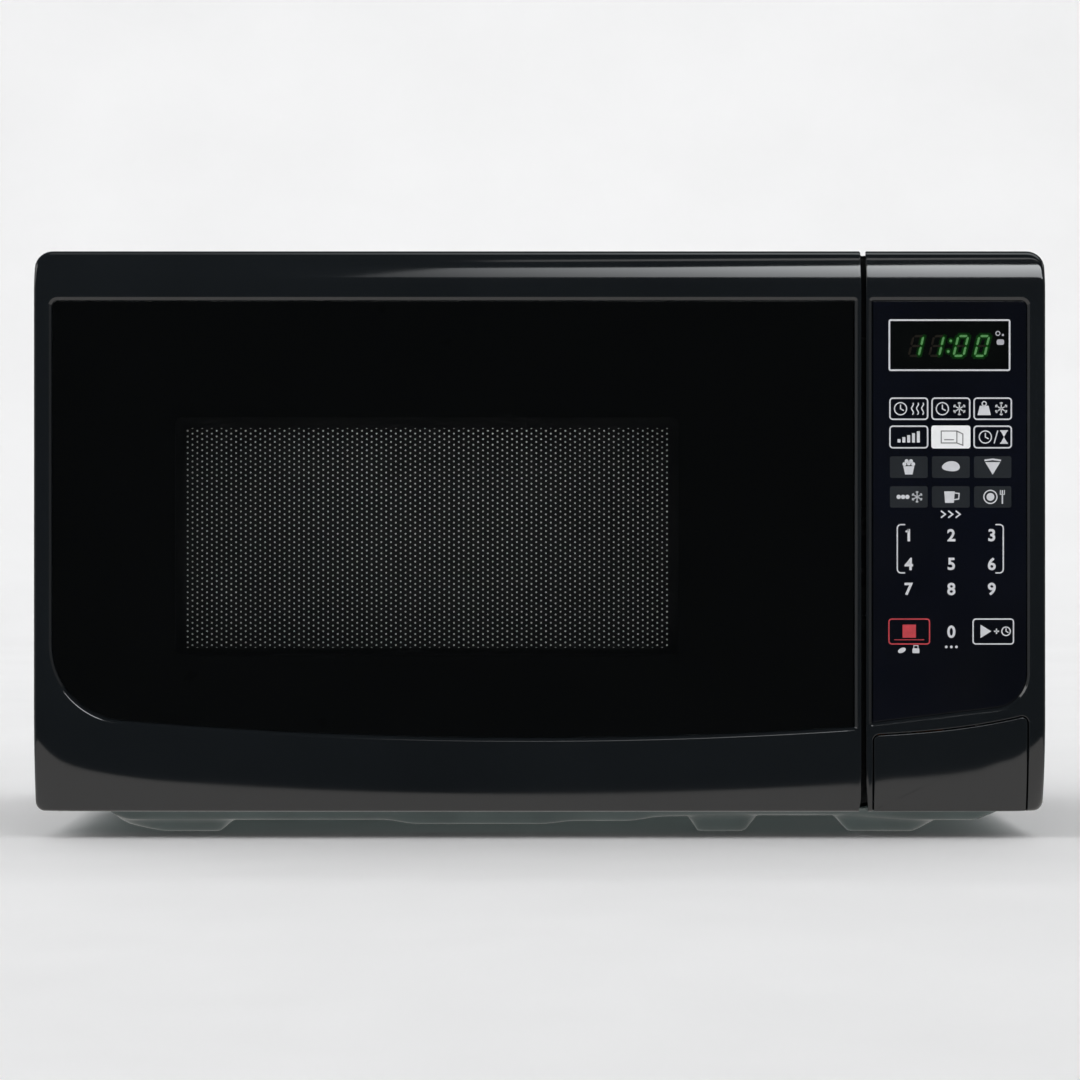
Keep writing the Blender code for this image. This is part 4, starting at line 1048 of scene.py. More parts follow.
def door_mark(marks, x, z):
    """An oven front with its door swung open."""
    thin = 0.42
    body = [(x - 4.2, z - 2.6), (x - 4.2, z + 2.6), (x + 2.6, z + 2.6), (x + 2.6, z - 2.6), (x - 4.4, z - 2.6)]
    marks.line(body, thin)
    marks.line([(x + 2.6, z + 2.6), (x + 5.2, z + 1.3), (x + 5.2, z - 3.6), (x + 2.6, z - 2.6)], thin)
    marks.line([(x - 2.9, z - 1.2), (x + 1.3, z - 1.2)], thin)


def hourglass(marks, x, z):
    marks.line([(x - 1.7, z + 2.7), (x + 1.7, z + 2.7)], STROKE)
    marks.line([(x - 1.7, z - 2.7), (x + 1.7, z - 2.7)], STROKE)
    marks.solid([(x - 1.4, z + 2.5), (x + 1.4, z + 2.5), (x, z)])
    marks.solid([(x - 1.4, z - 2.5), (x, z), (x + 1.4, z - 2.5)])


def print_food_keys(pads, white):
    """Two rows of dark pads with a plain picture of a dish on each."""
    for row in (2, 3):
        low, high = KEY_ROWS[row]
        for left, right in KEY_X:
            pads.pad(left + 0.3, right - 0.3, low, high, 0.9)
    middle = [sum(span) / 2 for span in KEY_X]
    upper, lower = sum(KEY_ROWS[2]) / 2, sum(KEY_ROWS[3]) / 2
    x = middle[0]  # a tub of popped corn
    white.solid([(x - 2.4, upper + 0.4), (x + 2.4, upper + 0.4), (x + 1.6, upper - 3.2), (x - 1.6, upper - 3.2)])
    for across, up in ((-1.9, 1.3), (0.0, 1.6), (1.9, 1.3), (-0.95, 2.6), (0.95, 2.6)):
        white.disc(x + across, upper + up, 0.85)
    x = middle[1]  # a potato
    shape = [(x + 3.9 * math.cos(t), upper + (2.2 + 0.5 * math.sin(t + 0.6)) * math.sin(t)) for t in steps_round(26)]
    white.solid(shape)
    x = middle[2]  # a wedge of pizza
    white.solid([(x - 3.3, upper + 2.2), (x + 3.3, upper + 2.2), (x, upper - 3.3)])
    white.line([(x - 3.6, upper + 2.9), (x, upper + 3.4), (x + 3.6, upper + 2.9)], 0.7)
    x = middle[0]  # peas and a snow star
    for across in (-4.4, -2.5, -0.6):
        white.disc(x + across, lower, 0.95)
    snow_mark(white, x + 3.6, lower, 2.5)
    x = middle[1]  # a cup
    white.solid([(x - 2.9, lower + 2.4), (x + 1.7, lower + 2.4), (x + 1.3, lower - 2.6), (x - 2.5, lower - 2.6)])
    white.line([(x + 1.6, lower + 1.7), (x + 3.6, lower + 1.5), (x + 3.4, lower - 0.9), (x + 1.4, lower - 1.2)], STROKE)
    x = middle[2]  # a plate with its fork
    white.ring(x - 1.0, lower, 3.1, STROKE)
    white.disc(x - 1.0, lower, 1.7)
    white.line([(x + 4.2, lower + 2.9), (x + 4.2, lower - 3.0)], 0.6)
    white.line([(x + 3.3, lower + 3.0), (x + 3.3, lower + 1.1), (x + 5.1, lower + 1.1), (x + 5.1, lower + 3.0)], 0.35)


def print_number_keys(white, red):
    """Numerals 1 to 9 and 0, with brackets round the upper six, a stop key and a start key."""
    number = 1
    for z in DIGIT_Z:
        for x in DIGIT_X:
            white.digits(str(number), x, z)
            number += 1
    white.line([(DIGIT_X[0] - 1.35, DIGIT_Z[0] + 1.45), (DIGIT_X[0] + 0.1, DIGIT_Z[0] + 2.35)], 0.75)
    white.digits("0", DIGIT_X[1], 87.8)
    for k in range(3):  # quick-start arrows over the brackets
        x = 174.6 + k * 3.2
        white.line([(x, 137.4), (x + 1.9, 138.9), (x, 140.4)], 0.65)
    for side, edge, flat, down in ((1, 155.6, 180, 270), (-1, 201.7, 0, -90)):
        path = [(edge + side * 3.4, 134.4)] + arc((edge + side * 1.6, 132.8), 1.6, 90, flat, 5)
        path += arc((edge + side * 1.6, 115.0), 1.6, flat, down, 5) + [(edge + side * 3.4, 113.4)]
        white.line(path, 0.55)
    red.frame(151.7, 169.9, 82.2, 93.6, 0.55, 1.5)
    red.solid([(157.9, 85.2), (163.7, 85.2), (163.7, 90.9), (157.9, 90.9)])
    red.line([(154.3, 84.3), (167.3, 84.3)], 0.3)
    white.frame(188.3, 206.4, 82.2, 93.6, 0.55, 1.5)
    white.solid([(191.8, 85.1), (196.5, 88.0), (191.8, 90.9)])
    white.line([(197.6, 88.0), (199.9, 88.0)], 0.55)
    white.line([(198.75, 86.85), (198.75, 89.15)], 0.55)
    clock_mark(white, 202.9, 88.0, 2.1)
    for k in range(3):  # stored settings
        white.disc(176.9 + k * 2.2, 81.2, 0.6)
    leaf = [(157.6 + 1.7 * math.cos(t), 79.7 + 1.1 * math.sin(t) + 0.5 * math.cos(t)) for t in steps_round(18)]
    white.solid(leaf)
    white.pad(162.2, 165.2, 78.5, 80.6, 0.3)
    white.line([(162.8, 80.5), (162.8, 81.8), (164.6, 81.8), (164.6, 80.5)], 0.35)


def keypad_print():
    white, bright, dark, red, pads = Print(), Print(), Print(KEYPAD_Y - 0.07), Print(), Print(thick=0.02)
    (left, right), (low, high) = DISPLAY_FRAME
    white.frame(left, right, low, high, 0.72, 1.0)
    print_mode_keys(white, bright, dark)
    food = Print(KEYPAD_Y - 0.04)
    print_food_keys(pads, food)
    print_number_keys(white, red)
    white.finish("keypad_print_white", "print_white")
    bright.finish("keypad_print_open_key", "print_bright")
    food.finish("keypad_print_food", "print_white")
    dark.finish("keypad_print_dark", "print_dark")
    red.finish("keypad_print_red", "print_red")
    pads.finish("keypad_print_pads", "keypad_pad")


# ---------------------------------------------------------------- display


SEGMENT_Y = FRONT + 5.6
DIGIT_WIDTH, DIGIT_HEIGHT, DIGIT_LEAN = 4.3, 8.6, 0.24
SEGMENT = 0.95
DISPLAY_LOW = 208.0
DISPLAY_DIGITS = ((161.0, "bc"), (169.9, "bc"), (180.5, "abcdef"), (189.7, "abcdef"))
SEGMENTS = {  # ends in a digit of unit width and height
    "a": ((0, 1), (1, 1)), "b": ((1, 1), (1, 0.5)), "c": ((1, 0.5), (1, 0)), "d": ((1, 0), (0, 0)),
    "e": ((0, 0), (0, 0.5)), "f": ((0, 0.5), (0, 1)), "g": ((0, 0.5), (1, 0.5)),
}


def segment_shape(left, name, width, short):
    """One bar with pointed ends, leaning with its digit."""
    (x0, z0), (x1, z1) = SEGMENTS[name]
    start = Vector((x0 * DIGIT_WIDTH, z0 * DIGIT_HEIGHT))
    end = Vector((x1 * DIGIT_WIDTH, z1 * DIGIT_HEIGHT))
    along = (end - start).normalized()
    side = Vector((-along.y, along.x)) * width / 2
    a, b, point = start + along * short, end - along * short, SEGMENT / 2
    shape = [a, a + along * point - side, b - along * point - side, b]
    shape += [b - along * point + side, a + along * point + side]
    return [(left + p.x + DIGIT_LEAN * p.y, DISPLAY_LOW + p.y) for p in shape]


def display():
    """Lit and unlit bars behind the smoked lens, and the lens itself."""
    lit, unlit, mask = Print(SEGMENT_Y, 0.1), Print(SEGMENT_Y, 0.06), Print(SEGMENT_Y + 0.35, 0.05)
    near, far = Print(SEGMENT_Y + 0.12, 0.02), Print(SEGMENT_Y + 0.2, 0.02)
    glows = ((lit, 0.0, 0.3, 0.6), (near, 0.9, -0.35, 1.0), (far, 1.9, -0.8, 1.5))
    for left, names in DISPLAY_DIGITS:
        for name in SEGMENTS:
            if name in names:
                for glow, wider, short, _ in glows:
                    glow.solid(segment_shape(left, name, SEGMENT + wider, short))
            else:
                unlit.solid(segment_shape(left, name, SEGMENT, 0.3))
    for x, z in ((178.2, 209.9), (179.3, 214.5)):  # the colon
        for glow, _, _, radius in glows:
            glow.disc(x, z, radius)
    (left, right), (low, high) = DISPLAY_FRAME
    mask.solid(rounded_rectangle(left - 1.5, right + 1.5, low - 1.0, high + 1.0, 1.0))
    lit.finish("display_segments_lit", "segment_lit", "display_lens")
    near.finish("display_glow_near", "segment_near", "display_lens")
    far.finish("display_glow_far", "segment_far", "display_lens")
    # The unlit bars get a faint painted glow from their material.
    unlit.finish("display_segments_unlit", "segment_off_painted_glow", "display_lens")
    mask.finish("display_mask", "display_mask", "display_lens")
    marks = Print(KEYPAD_Y + 0.55)
    marks.ring(199.4, 217.6, 1.1, 0.45)
    marks.disc(201.6, 216.9, 0.5)
    marks.pad(198.9, 202.1, 212.6, 215.0, 0.8)
    marks.finish("display_side_marks", "print_grey", "display_lens")

    outline = rounded_rectangle(left - 0.2, right + 0.4, low - 1.1, high + 1.1, 1.5)
    front = KEYPAD_Y + 0.82
    rings = [[at(x, y, z) for x, z in outline] for y in (front + 1.9, front)]
    mesh = bevelled(closed("display_lens", rings), 0.15)
    piece_from("display_lens_plate", mesh, "cabinet", "display_lens", ["display_window"])


# ---------------------------------------------------------------- cabinet


WRAPPER_SIDE, WRAPPER_LOW, WRAPPER_TOP, WRAPPER_CORNER = 218.0, 7.6, 254.0, 6.0
SHEET = 0.7


def u_profile(shift):
    """One face of the wrapper's sheet seen from the front: up one side, over the roof and down the other."""
    side, roof, radius = WRAPPER_SIDE - shift, WRAPPER_TOP - shift, WRAPPER_CORNER - shift
    shoulder, hold = roof - radius, 0.6  # a point held close to each bend keeps the flats flat
    rise = [WRAPPER_LOW + (shoulder - WRAPPER_LOW) * k / 10 for k in range(10)] + [shoulder - hold]
    flat = side - radius
    path = [(side, z) for z in rise] + arc((flat, shoulder), radius, 0, 90, 14)
    path += [(flat - hold, roof)] + [(flat - 2 * flat * k / 24, roof) for k in range(1, 24)] + [(hold - flat, roof)]
    path += arc((-flat, shoulder), radius, 90, 180, 14)
    path.append((-side, shoulder - hold))
    return path + [(-side, shoulder - (shoulder - WRAPPER_LOW) * k / 10) for k in range(1, 11)]


def slot_cutter(axis, along, middle, length, width, through):
    """A round-ended slot. axis is the way through; along is the way it is long."""
    half = length / 2 - width / 2
    shape = arc((half, 0), width / 2, -90, 90, 8) + arc((-half, 0), width / 2, 90, 270, 8)
    rings = []
    for depth in (-through, through):
        ring = []
        for u, v in shape:
            spot = dict.fromkeys("XYZ", 0.0)
            spot[axis] += depth
            spot[along] += u
            spot[[n for n in "XYZ" if n not in (axis, along)][0]] += v
            ring.append(at(middle[0] + spot["X"], middle[1] + spot["Y"], middle[2] + spot["Z"]))
        rings.append(ring)
    return linked("cutter", closed("cutter", rings))


def hole_cutter(axis, along, middle, size, through):
    """A round hole: a slot that is hardly longer than wide."""
    return slot_cutter(axis, along, middle, size + 0.01, size, through)


def outer_wrapper():
    """The painted U of sheet, its edges rounded at the front and the back, with two rows of slots."""
    outer, inner = u_profile(0.0), u_profile(SHEET)
    front, back = -128.8, 154.8
    rings = []
    for y, trim in ((front, 0.3), (front + 0.09, 0.12), (front + 0.3, 0.0), (back - 0.3, 0.0), (back - 0.09, 0.12),
                    (back, 0.3)):
        share = trim / SHEET
        loop = [blend(a, b, share) for a, b in zip(outer, inner)]
        loop += [blend(b, a, share) for a, b in zip(outer, inner)][::-1]
        rings.append([at(x, y, z) for x, z in loop])
    slots = [slot_cutter("X", "Y", (WRAPPER_SIDE, -81, 41.5 + 8 * k), 22, 3, 4) for k in range(8)]
    slots += [slot_cutter("X", "Y", (-WRAPPER_SIDE, 71, 191.5 + 8 * k), 22, 3, 4) for k in range(6)]
    mesh = carve(closed("outer_wrapper", rings, 30), slots, sharp=30)
    piece_from("outer_wrapper_sheet", mesh, "cabinet", "wrapper_paint", ["outer_wrapper"])


def sheet_from_heights(name, columns, rows, height, place):
    """A pressed sheet: height(u, v) gives one face, and the other lies a sheet's thickness away."""
    edit = bmesh.new()
    faces = []
    for shift in (0.0, SHEET):
        faces.append([[edit.verts.new(place(u, v, height(u, v) + shift)) for u in columns] for v in rows])
    low, high = faces
    for j in range(len(rows) - 1):
        for i in range(len(columns) - 1):
            edit.faces.new((low[j][i], low[j][i + 1], low[j + 1][i + 1], low[j + 1][i]))
            edit.faces.new((high[j][i], high[j + 1][i], high[j + 1][i + 1], high[j][i + 1]))
    border = [(0, i) for i in range(len(columns))]
    border += [(j, len(columns) - 1) for j in range(1, len(rows))]
    border += [(len(rows) - 1, i) for i in range(len(columns) - 2, -1, -1)]
    border += [(j, 0) for j in range(len(rows) - 2, 0, -1)]
    for (j, i), (n, m) in zip(border, border[1:] + border[:1]):
        edit.faces.new((low[j][i], high[j][i], high[n][m], low[n][m]))
    return finished(edit, name, 40)


def even(*stops):
    """Stations from each stop to the next. Between two stops stands the step to take, as in 0, 2.0, 10."""
    made = [stops[0]]
    for low, step, high in zip(stops[0::2], stops[1::2], stops[2::2]):
        count = max(2, round((high - low) / step))
        made += [low + (high - low) * k / count for k in range(1, count + 1)]
    return made


def stepped(x, stations):
    """The value at x of a line through (x, value) stations that levels off at each of them."""
    value = stations[0][1]
    for (start, first), (end, last) in zip(stations, stations[1:]):
        value += (last - first) * smooth_step(x, start, end)
    return value


PAN_LEVELS = (  # X and level of the pan along its front, deepest in front of the turntable
    (-70.0, 3.1), (-54.0, 1.2), (0.0, 1.2), (16.0, 2.6), (38.0, 2.6), (56.0, 4.6), (66.0, 4.7), (92.0, 5.1),
    (130.0, 5.1), (174.0, 3.0),
)


def base_plate():
    """The bottom pressing: a shallow pan with softly drawn feet that taper outwards."""
    pan, rim, ground = 2.6, 8.5, -FOOT_DROP
    feet = [  # middle X, middle Y, half width, half depth, slope to the left, right and along Y
        (-154.0, -108.0, 10.0, 6.0, 34.0, 9.0, 7.0),
        (81.0, -108.0, 9.5, 6.0, 6.0, 8.0, 7.0),
        (152.0, -108.0, 13.0, 6.0, 9.0, 14.0, 7.0),
        (-157.0, 118.0, 13.0, 6.0, 12.0, 12.0, 7.0),
        (149.0, 118.0, 13.0, 6.0, 12.0, 12.0, 7.0),
    ]

    def height(x, y):
        sides = min(smooth_step(x, -196.0, -182.0), 1 - smooth_step(x, 192.0, 209.0))
        ends = min(smooth_step(y, -127.0, -121.0), 1 - smooth_step(y, 140.0, 147.0))
        front = 1 - smooth_step(y, -78.0, -52.0)
        level = rim + (pan + (stepped(x, PAN_LEVELS) - pan) * front - rim) * min(sides, ends)
        for mid_x, mid_y, half_x, half_y, left, right, slope in feet:
            gap_x = max(0.0, abs(x - mid_x) - half_x) / (left if x < mid_x else right)
            gap_y = max(0.0, abs(y - mid_y) - half_y) / slope
            share = 1 - smooth_step(math.hypot(gap_x, gap_y), 0.0, 1.0)
            level += (ground - level) * share
        return level

    columns = even(-216.8, 2.4, 216.8)
    rows = even(-127.4, 1.3, -96.0, 5.0, 104.0, 2.2, 152.6)
    mesh = sheet_from_heights("base_plate", columns, rows, height, at)
    piece_from("base_plate_pressing", mesh, "cabinet", "base_sheet", ["base_plate"])


def back_panel():
    """The rear sheet, with its field pressed out and rows of slots for the fan and the cavity's air."""
    columns = even(-216.8, 5.0, -164.0, 1.0, -150.0, 6.0, 60.0, 1.0, 74.0, 5.0, 216.8)
    rows = even(10.5, 5.0, 46.0, 1.0, 60.0, 6.0, 215.0, 1.0, 229.0, 4.0, 252.7)

    def height(x, z):
        return 11.1 * min(smooth_step(x, -161.0, -152.5), 1 - smooth_step(x, 62.5, 71.0),
                          smooth_step(z, 49.0, 57.5), 1 - smooth_step(z, 217.5, 226.0))

    mesh = sheet_from_heights("back_panel", columns, rows, height, lambda x, z, y: at(x, REAR + y, z))
    cutters = [slot_cutter("Y", "X", (162, MID_SHEET, 117 + 9 * k), 76, 4, 5) for k in range(8)]
    cutters += [slot_cutter("Y", "X", (-184, MID_SHEET, 171.5 + 8 * k), 24, 3, 5) for k in range(6)]
    cutters.append(hole_cutter("Y", "X", (GLAND_X, MID_SHEET, GLAND_Z), 16.8, 5))
    for x, z in SCREW_PLACES:
        cutters.append(hole_cutter("Y", "X", (x, MID_SHEET, z), 4.6, 5))
    corners = [cutter_prism([(side * 211.8, 252.9), (side * 217.0, 252.9), (side * 217.0, 247.7)], (150, 158))
               for side in (-1, 1)]
    mesh = carve(mesh, cutters + corners, sharp=40)
    piece_from("back_panel_pressing", mesh, "cabinet", "rear_sheet", ["back_panel"])


SCREW_PLACES = [(-208, 20), (208, 20), (-208, 242), (208, 242)]
REAR, MID_SHEET = 153.2, 153.5  # the rear sheet's inner face, and a place inside its thickness
GLAND_X, GLAND_Z = 196, 34


def rear_screws():
    """Pan heads with a cross recess."""
    head = [(0, -7.3), (1.2, -7.3), (1.8, -6.4), (1.8, 0.02), (4.0, 0.02), (4.0, 0.45), (3.85, 0.95), (3.4, 1.5)]
    head += [(2.6, 1.95), (1.5, 2.18), (0, 2.2)]
    for number, (x, z) in enumerate(SCREW_PLACES, 1):
        mesh = turned_mesh(f"rear_screw_{number}", head, (x, 154.2, z), "Y", 32)
        cross = [slot_cutter("Y", way, (x, 156.9, z), 3.6, 0.75, 1.6) for way in ("X", "Z")]
        mesh = carve(mesh, cross)
        piece_from(f"rear_screw_{number}_head", mesh, "cabinet", "steel", [f"rear_screw_{number}"])


def cord_gland():
    shape = [(3.6, 7.2), (4.0, 7.5), (6.2, 7.5), (6.6, 7.2), (7.6, 6.2), (9.3, 5.2), (9.8, 4.6), (10.9, 1.5)]
    shape += [(11.0, 1.0), (8.0, 1.0), (8.0, -0.3), (10.5, -0.3), (10.2, -1.6), (9.6, -3.7), (9.2, -4.0), (3.9, -4.0)]
    shape += [(3.6, -3.7)]
    mesh = turned_mesh("cord_gland", shape, (GLAND_X, REAR, GLAND_Z), "Y", 48)
    piece_from("cord_gland_bush", mesh, "cabinet", "black_plastic", ["cord_gland"])


# ---------------------------------------------------------------- cavity and turntable

CAVITY_X, CAVITY_Z, CAVITY_FRONT, CAVITY_BACK = (-200.0, 106.0), (33.0, 235.0), -128.0, 150.0
TURN_X, TURN_Y = -47.0, 11.0
TRAY_Z, ROLLER_Z, ROLLER_TRACK = 47.6, 40.3, 90.0


def oven_cavity():
    """The welded box, with soft corners, a hole in its floor and perforated vents."""
    (left, right), (low, high) = CAVITY_X, CAVITY_Z
    corner, fillet = 7.0, 6.0

    def ring(shrink, y, grow=0.0):
        radius = max(0.8, corner + grow - shrink * 0.35)
        sides = (left - grow + shrink, right + grow - shrink, low - grow + shrink, high + grow - shrink)
        return [at(x, y, z) for x, z in rounded_rectangle(*sides, radius, 8)]

    turns = [math.pi / 2 * k / 6 for k in range(7)]
    rings = [ring(fillet * (1 - math.cos(t)), CAVITY_BACK - fillet * (1 - math.sin(t))) for t in turns[::-1]]
    rings += [ring(0, CAVITY_BACK - fillet - 70 * k) for k in range(1, 4)]
    rings += [ring(0, CAVITY_FRONT), ring(0, CAVITY_FRONT, SHEET)]
    rings += [ring(0, CAVITY_BACK - fillet - 70 * k, SHEET) for k in (3, 2, 1)]
    for t in turns:
        rings.append(ring(fillet * (1 - math.cos(t)), CAVITY_BACK + SHEET - fillet * (1 - math.sin(t)), SHEET))
    mesh = closed("oven_cavity", rings, 40)
    cutters = [hole_cutter("Z", "X", (TURN_X, TURN_Y, low), 14, 5)]
    cutters.append(cutter_box((right - 5, right + 5), (15, 85), (115, 175)))
    for j in range(5):
        for k in range(5):
            cutters.append(hole_cutter("X", "Y", (right, -75 + 4 * j, 192 + 4 * k), 2.4, 4))
    cutters += [slot_cutter("X", "Y", (left, 71, 191.5 + 8 * k), 22, 3, 4) for k in range(4)]
    mesh = carve(mesh, cutters, sharp=40)
    piece_from("oven_cavity_liner", mesh, "cabinet", "enamel", ["oven_cavity"])


def glass_tray():
    shape = [(0, 4.4), (60, 4.4), (97, 4.4), (101, 4.7), (105, 5.6), (110, 7.6), (113, 9.8), (115, 11.8), (116.5, 12.7)]
    shape += [(118.5, 13.0), (121.4, 13.0), (122.3, 12.6), (122.5, 12.0), (122.3, 11.4), (121.4, 11.0), (119.5, 10.7)]
    shape += [(117.4, 9.9), (115, 7.4), (112, 4.1), (108, 1.5), (104, 0.3), (102.4, 0.0), (99.6, 0.0), (98.6, 0.35)]
    shape += [(97.6, 0.6), (82, 0.6), (81, 0.0), (79, 0.0), (78, 0.6), (22, 0.6), (21, 0.0), (17, 0.0), (16.4, 0.0)]
    shape += [(0, 0.0)]
    mesh = turned_mesh("glass_tray", shape, (TURN_X, TURN_Y, TRAY_Z), "Z", 128)
    piece_from("glass_tray_plate", mesh, "tray", "tray_glass", ["glass_tray"])


def roller_ring():
    shape = [(74.0, 2.2), (74.3, 2.6), (79.7, 2.6), (80.0, 2.2), (80.0, -2.2), (79.7, -2.6), (79.0, -2.6), (78.4, 1.2)]
    shape += [(75.6, 1.2), (75.0, -2.6), (74.3, -2.6), (74.0, -2.2)]
    ring = turned_mesh("roller_ring", shape, (TURN_X, TURN_Y, ROLLER_Z), "Z", 120)
    arms = []
    arm_profile = [(0, 76.5), (1.3, 76.5), (1.6, 76.8), (1.6, 94.8), (2.6, 95.2), (3.0, 95.7), (2.6, 96.6)]
    arm_profile += [(1.5, 97.0), (0, 97.0)]
    wheel = [(2.1, -2.6), (2.6, -3.0), (5.8, -3.0), (6.6, -2.7), (7.0, -2.0), (7.0, 2.0), (6.6, 2.7), (5.8, 3.0)]
    wheel += [(2.6, 3.0), (2.1, 2.6)]
    wheel = [(radius, along + ROLLER_TRACK) for radius, along in wheel]
    for k in range(3):
        turn = Matrix.Rotation(math.pi / 2 + 2 * math.pi * k / 3, 4, "Z")
        place = Matrix.Translation(at(TURN_X, TURN_Y, ROLLER_Z)) @ turn
        arm = turned_mesh("arm", arm_profile, (0, 0, -FOOT_DROP), "X", 24)
        roller = turned_mesh(f"roller_{k + 1}", wheel, (0, 0, -FOOT_DROP), "X", 48)
        arm.transform(place)
        roller.transform(place)
        arms.append(linked("arm", arm))
        piece_from(f"roller_{k + 1}_wheel", roller, f"ring_roller_{k + 1}", "white_plastic", [f"roller_{k + 1}"])
    ring = carve(ring, arms, "UNION")
    piece_from("roller_ring_moulding", ring, "ring", "white_plastic", ["roller_ring"])


# ---------------------------------------------------------------- pieces that keep their solid's shape


def softened():
    """Carried-over shapes whose edges are only broken, as moulding or bending leaves them."""
    for name, (body, width) in EASED.items():
        copy = NODES[name].data.copy()
        copy.transform(NODES[name].matrix_world)
        mesh = bevelled(copy, width)
        mesh.name = name
        # The front plate is dark: its own paint, and painted shade for the gap between the door and the panel, where it
        # shows.
        material = "dark_enamel_gap_shade" if name == "front_plate" else None
        piece_from(name + "_shape", mesh, body, SLOTS[name], [name], material)


EASED = {  # body, and how much its edges are broken
    "front_plate": ("cabinet", 0.2), "door_choke_cover": ("door", 0.5), "latch_hooks": ("hooks", 0.5),
    "release_lever": ("lever", 0.4), "latch_board": ("cabinet", 0.4), "turntable_coupler": ("coupler", 0.6),
    "transformer_core": ("cabinet", 0.4), "primary_winding": ("cabinet", 1.2),
    "secondary_winding": ("cabinet", 1.2), "magnetron_yoke": ("cabinet", 0.3), "hv_capacitor": ("cabinet", 0.8),
    "fan_motor": ("cabinet", 0.5), "fan_shroud": ("cabinet", 0.4), "air_duct": ("cabinet", 0.4),
    "display_module": ("cabinet", 0.5), "monitor_switch": ("cabinet", 0.4), "primary_switch": ("cabinet", 0.4),
    "secondary_switch": ("cabinet", 0.4), "turntable_motor": ("cabinet", 0.8), "waveguide_duct": ("cabinet", 0.3),
    "thermal_cutout": ("cabinet", 0.6), "lamp_socket": ("cabinet", 0.4),
}


# ---------------------------------------------------------------- stage, light and camera


def emitter(name, corners, colour, strength, fade=()):
    """A light panel that only gloss sees, from its corners in metres.

    fade holds (axis, first, last, share at first, share at last) in metres, and each entry multiplies
    the strength.
    """
    mesh = bpy.data.meshes.new(name)
    mesh.from_pydata([Vector(c) for c in corners], [], [tuple(range(len(corners)))])
    panel = linked(name, mesh)
    material = bpy.data.materials.new(name)
    material.use_nodes = True
    tree = material.node_tree
    tree.nodes.clear()
    for axis, first, last, low, high in fade:
        along = node(tree, "SeparateXYZ", {"Vector": place_in(tree)}).outputs[axis]
        share = ramp(tree, along, (first, last), (low, high))
        strength = node(tree, "Math", {0: share, 1: strength}, operation="MULTIPLY").outputs["Value"]
    glow = node(tree, "Emission", {"Color": (*colour, 1.0), "Strength": strength})
    node(tree, "OutputMaterial", {"Surface": glow.outputs["Emission"]})
    mesh.materials.append(material)
    panel.visible_camera = panel.visible_diffuse = panel.visible_transmission = panel.visible_shadow = False


FLOOR_REACH, BEND_START, BEND, WALL_TOP = 40.0, 3.0, 2.5, 9.0  # metres


def plain_floor():
    """A pale floor that sweeps up behind. Gloss sees the world's lower half instead of it.

    Far from the lamps, to the sides and ahead, it gives a little light of its own and so stays even.
    """
    material = surface("pale_floor", (0.88, 0.88, 0.885), 0.7, mottle=0.02, mottle_scale=3.0, wear=0.05)
    tree, shader = tree_of(material)
    place = node(tree, "SeparateXYZ", {"Vector": place_in(tree)}).outputs
    ahead = node(tree, "Math", {0: place["Y"], 1: 0.0}, operation="MINIMUM").outputs["Value"]
    flat = node(tree, "CombineXYZ", {"X": place["X"], "Y": ahead}).outputs["Vector"]
    reach = node(tree, "VectorMath", {0: flat}, operation="LENGTH").outputs["Value"]
    tree.links.new(ramp(tree, reach, (1.5, 7.0), (0.0, 0.2)), shader.inputs["Emission Strength"])
    shader.inputs["Emission Color"].default_value = (1.0, 1.0, 1.0, 1.0)
    turns = [math.pi / 2 * k / 16 for k in range(1, 17)]
    path = [(-FLOOR_REACH, 0.0), (BEND_START, 0.0)]
    path += [(BEND_START + BEND * math.sin(t), BEND - BEND * math.cos(t)) for t in turns]
    path.append((BEND_START + BEND, WALL_TOP))
    points = [Vector((x, y, z)) for y, z in path for x in (-FLOOR_REACH, FLOOR_REACH)]
    faces = [(2 * k, 2 * k + 1, 2 * k + 3, 2 * k + 2) for k in range(len(path) - 1)]
    floor = bpy.data.meshes.new("floor")
    floor.from_pydata(points, [], faces)
    floor.shade_smooth()
    floor.materials.append(material)
    sweep = linked("floor", floor)
    sweep.visible_glossy = False
    sweep.visible_transmission = False
    return sweep


FLOOR_ANGLE, FLOOR_GLOSS = 12.2, 1.05  # where gloss starts to see the floor, and how bright it is


def studio_world():
    """A soft dome to matt surfaces. Gloss sees a dark room over a pale floor that starts steeply below."""
    world = bpy.data.worlds.new("studio")
    bpy.context.scene.world = world
    world.use_nodes = True
    tree = world.node_tree
    tree.nodes.clear()

    def sky(colour, strength):
        return node(tree, "Background", {"Color": (*colour, 1.0), "Strength": strength}).outputs["Background"]

    def mixed(share, first, second):
        return node(tree, "MixShader", {"Fac": share, 1: first, 2: second}).outputs["Shader"]

    edge, blur = -math.sin(math.radians(FLOOR_ANGLE)), 0.004
    up = node(tree, "SeparateXYZ", {"Vector": node(tree, "TexCoord").outputs["Generated"]}).outputs["Z"]
    below = ramp(tree, up, (edge + blur, edge - blur), (0.0, 1.0))
    path = node(tree, "LightPath").outputs
    gloss = mixed(below, sky((0.80, 0.93, 1.0), 0.06), sky((1.0, 0.965, 0.93), FLOOR_GLOSS))
    matt = mixed(path["Is Diffuse Ray"], gloss, sky((1.0, 1.0, 1.0), 0.70))
    seen = mixed(path["Is Camera Ray"], matt, sky((0.885, 0.89, 0.90), 1.0))
    node(tree, "OutputWorld", {"Surface": seen})


def area_light(name, place, aim, size, power, colour=(1, 1, 1), glossy=True):
    light = bpy.data.lights.new(name, "AREA")
    light.shape = "RECTANGLE"
    light.size, light.size_y = size
    light.energy = power
    light.color = colour
    holder = linked(name, light)
    holder.location = place
    holder.rotation_euler = (Vector(aim) - Vector(place)).to_track_quat("-Z", "Y").to_euler()
    holder.visible_glossy = glossy
    holder.visible_camera = False
    return holder


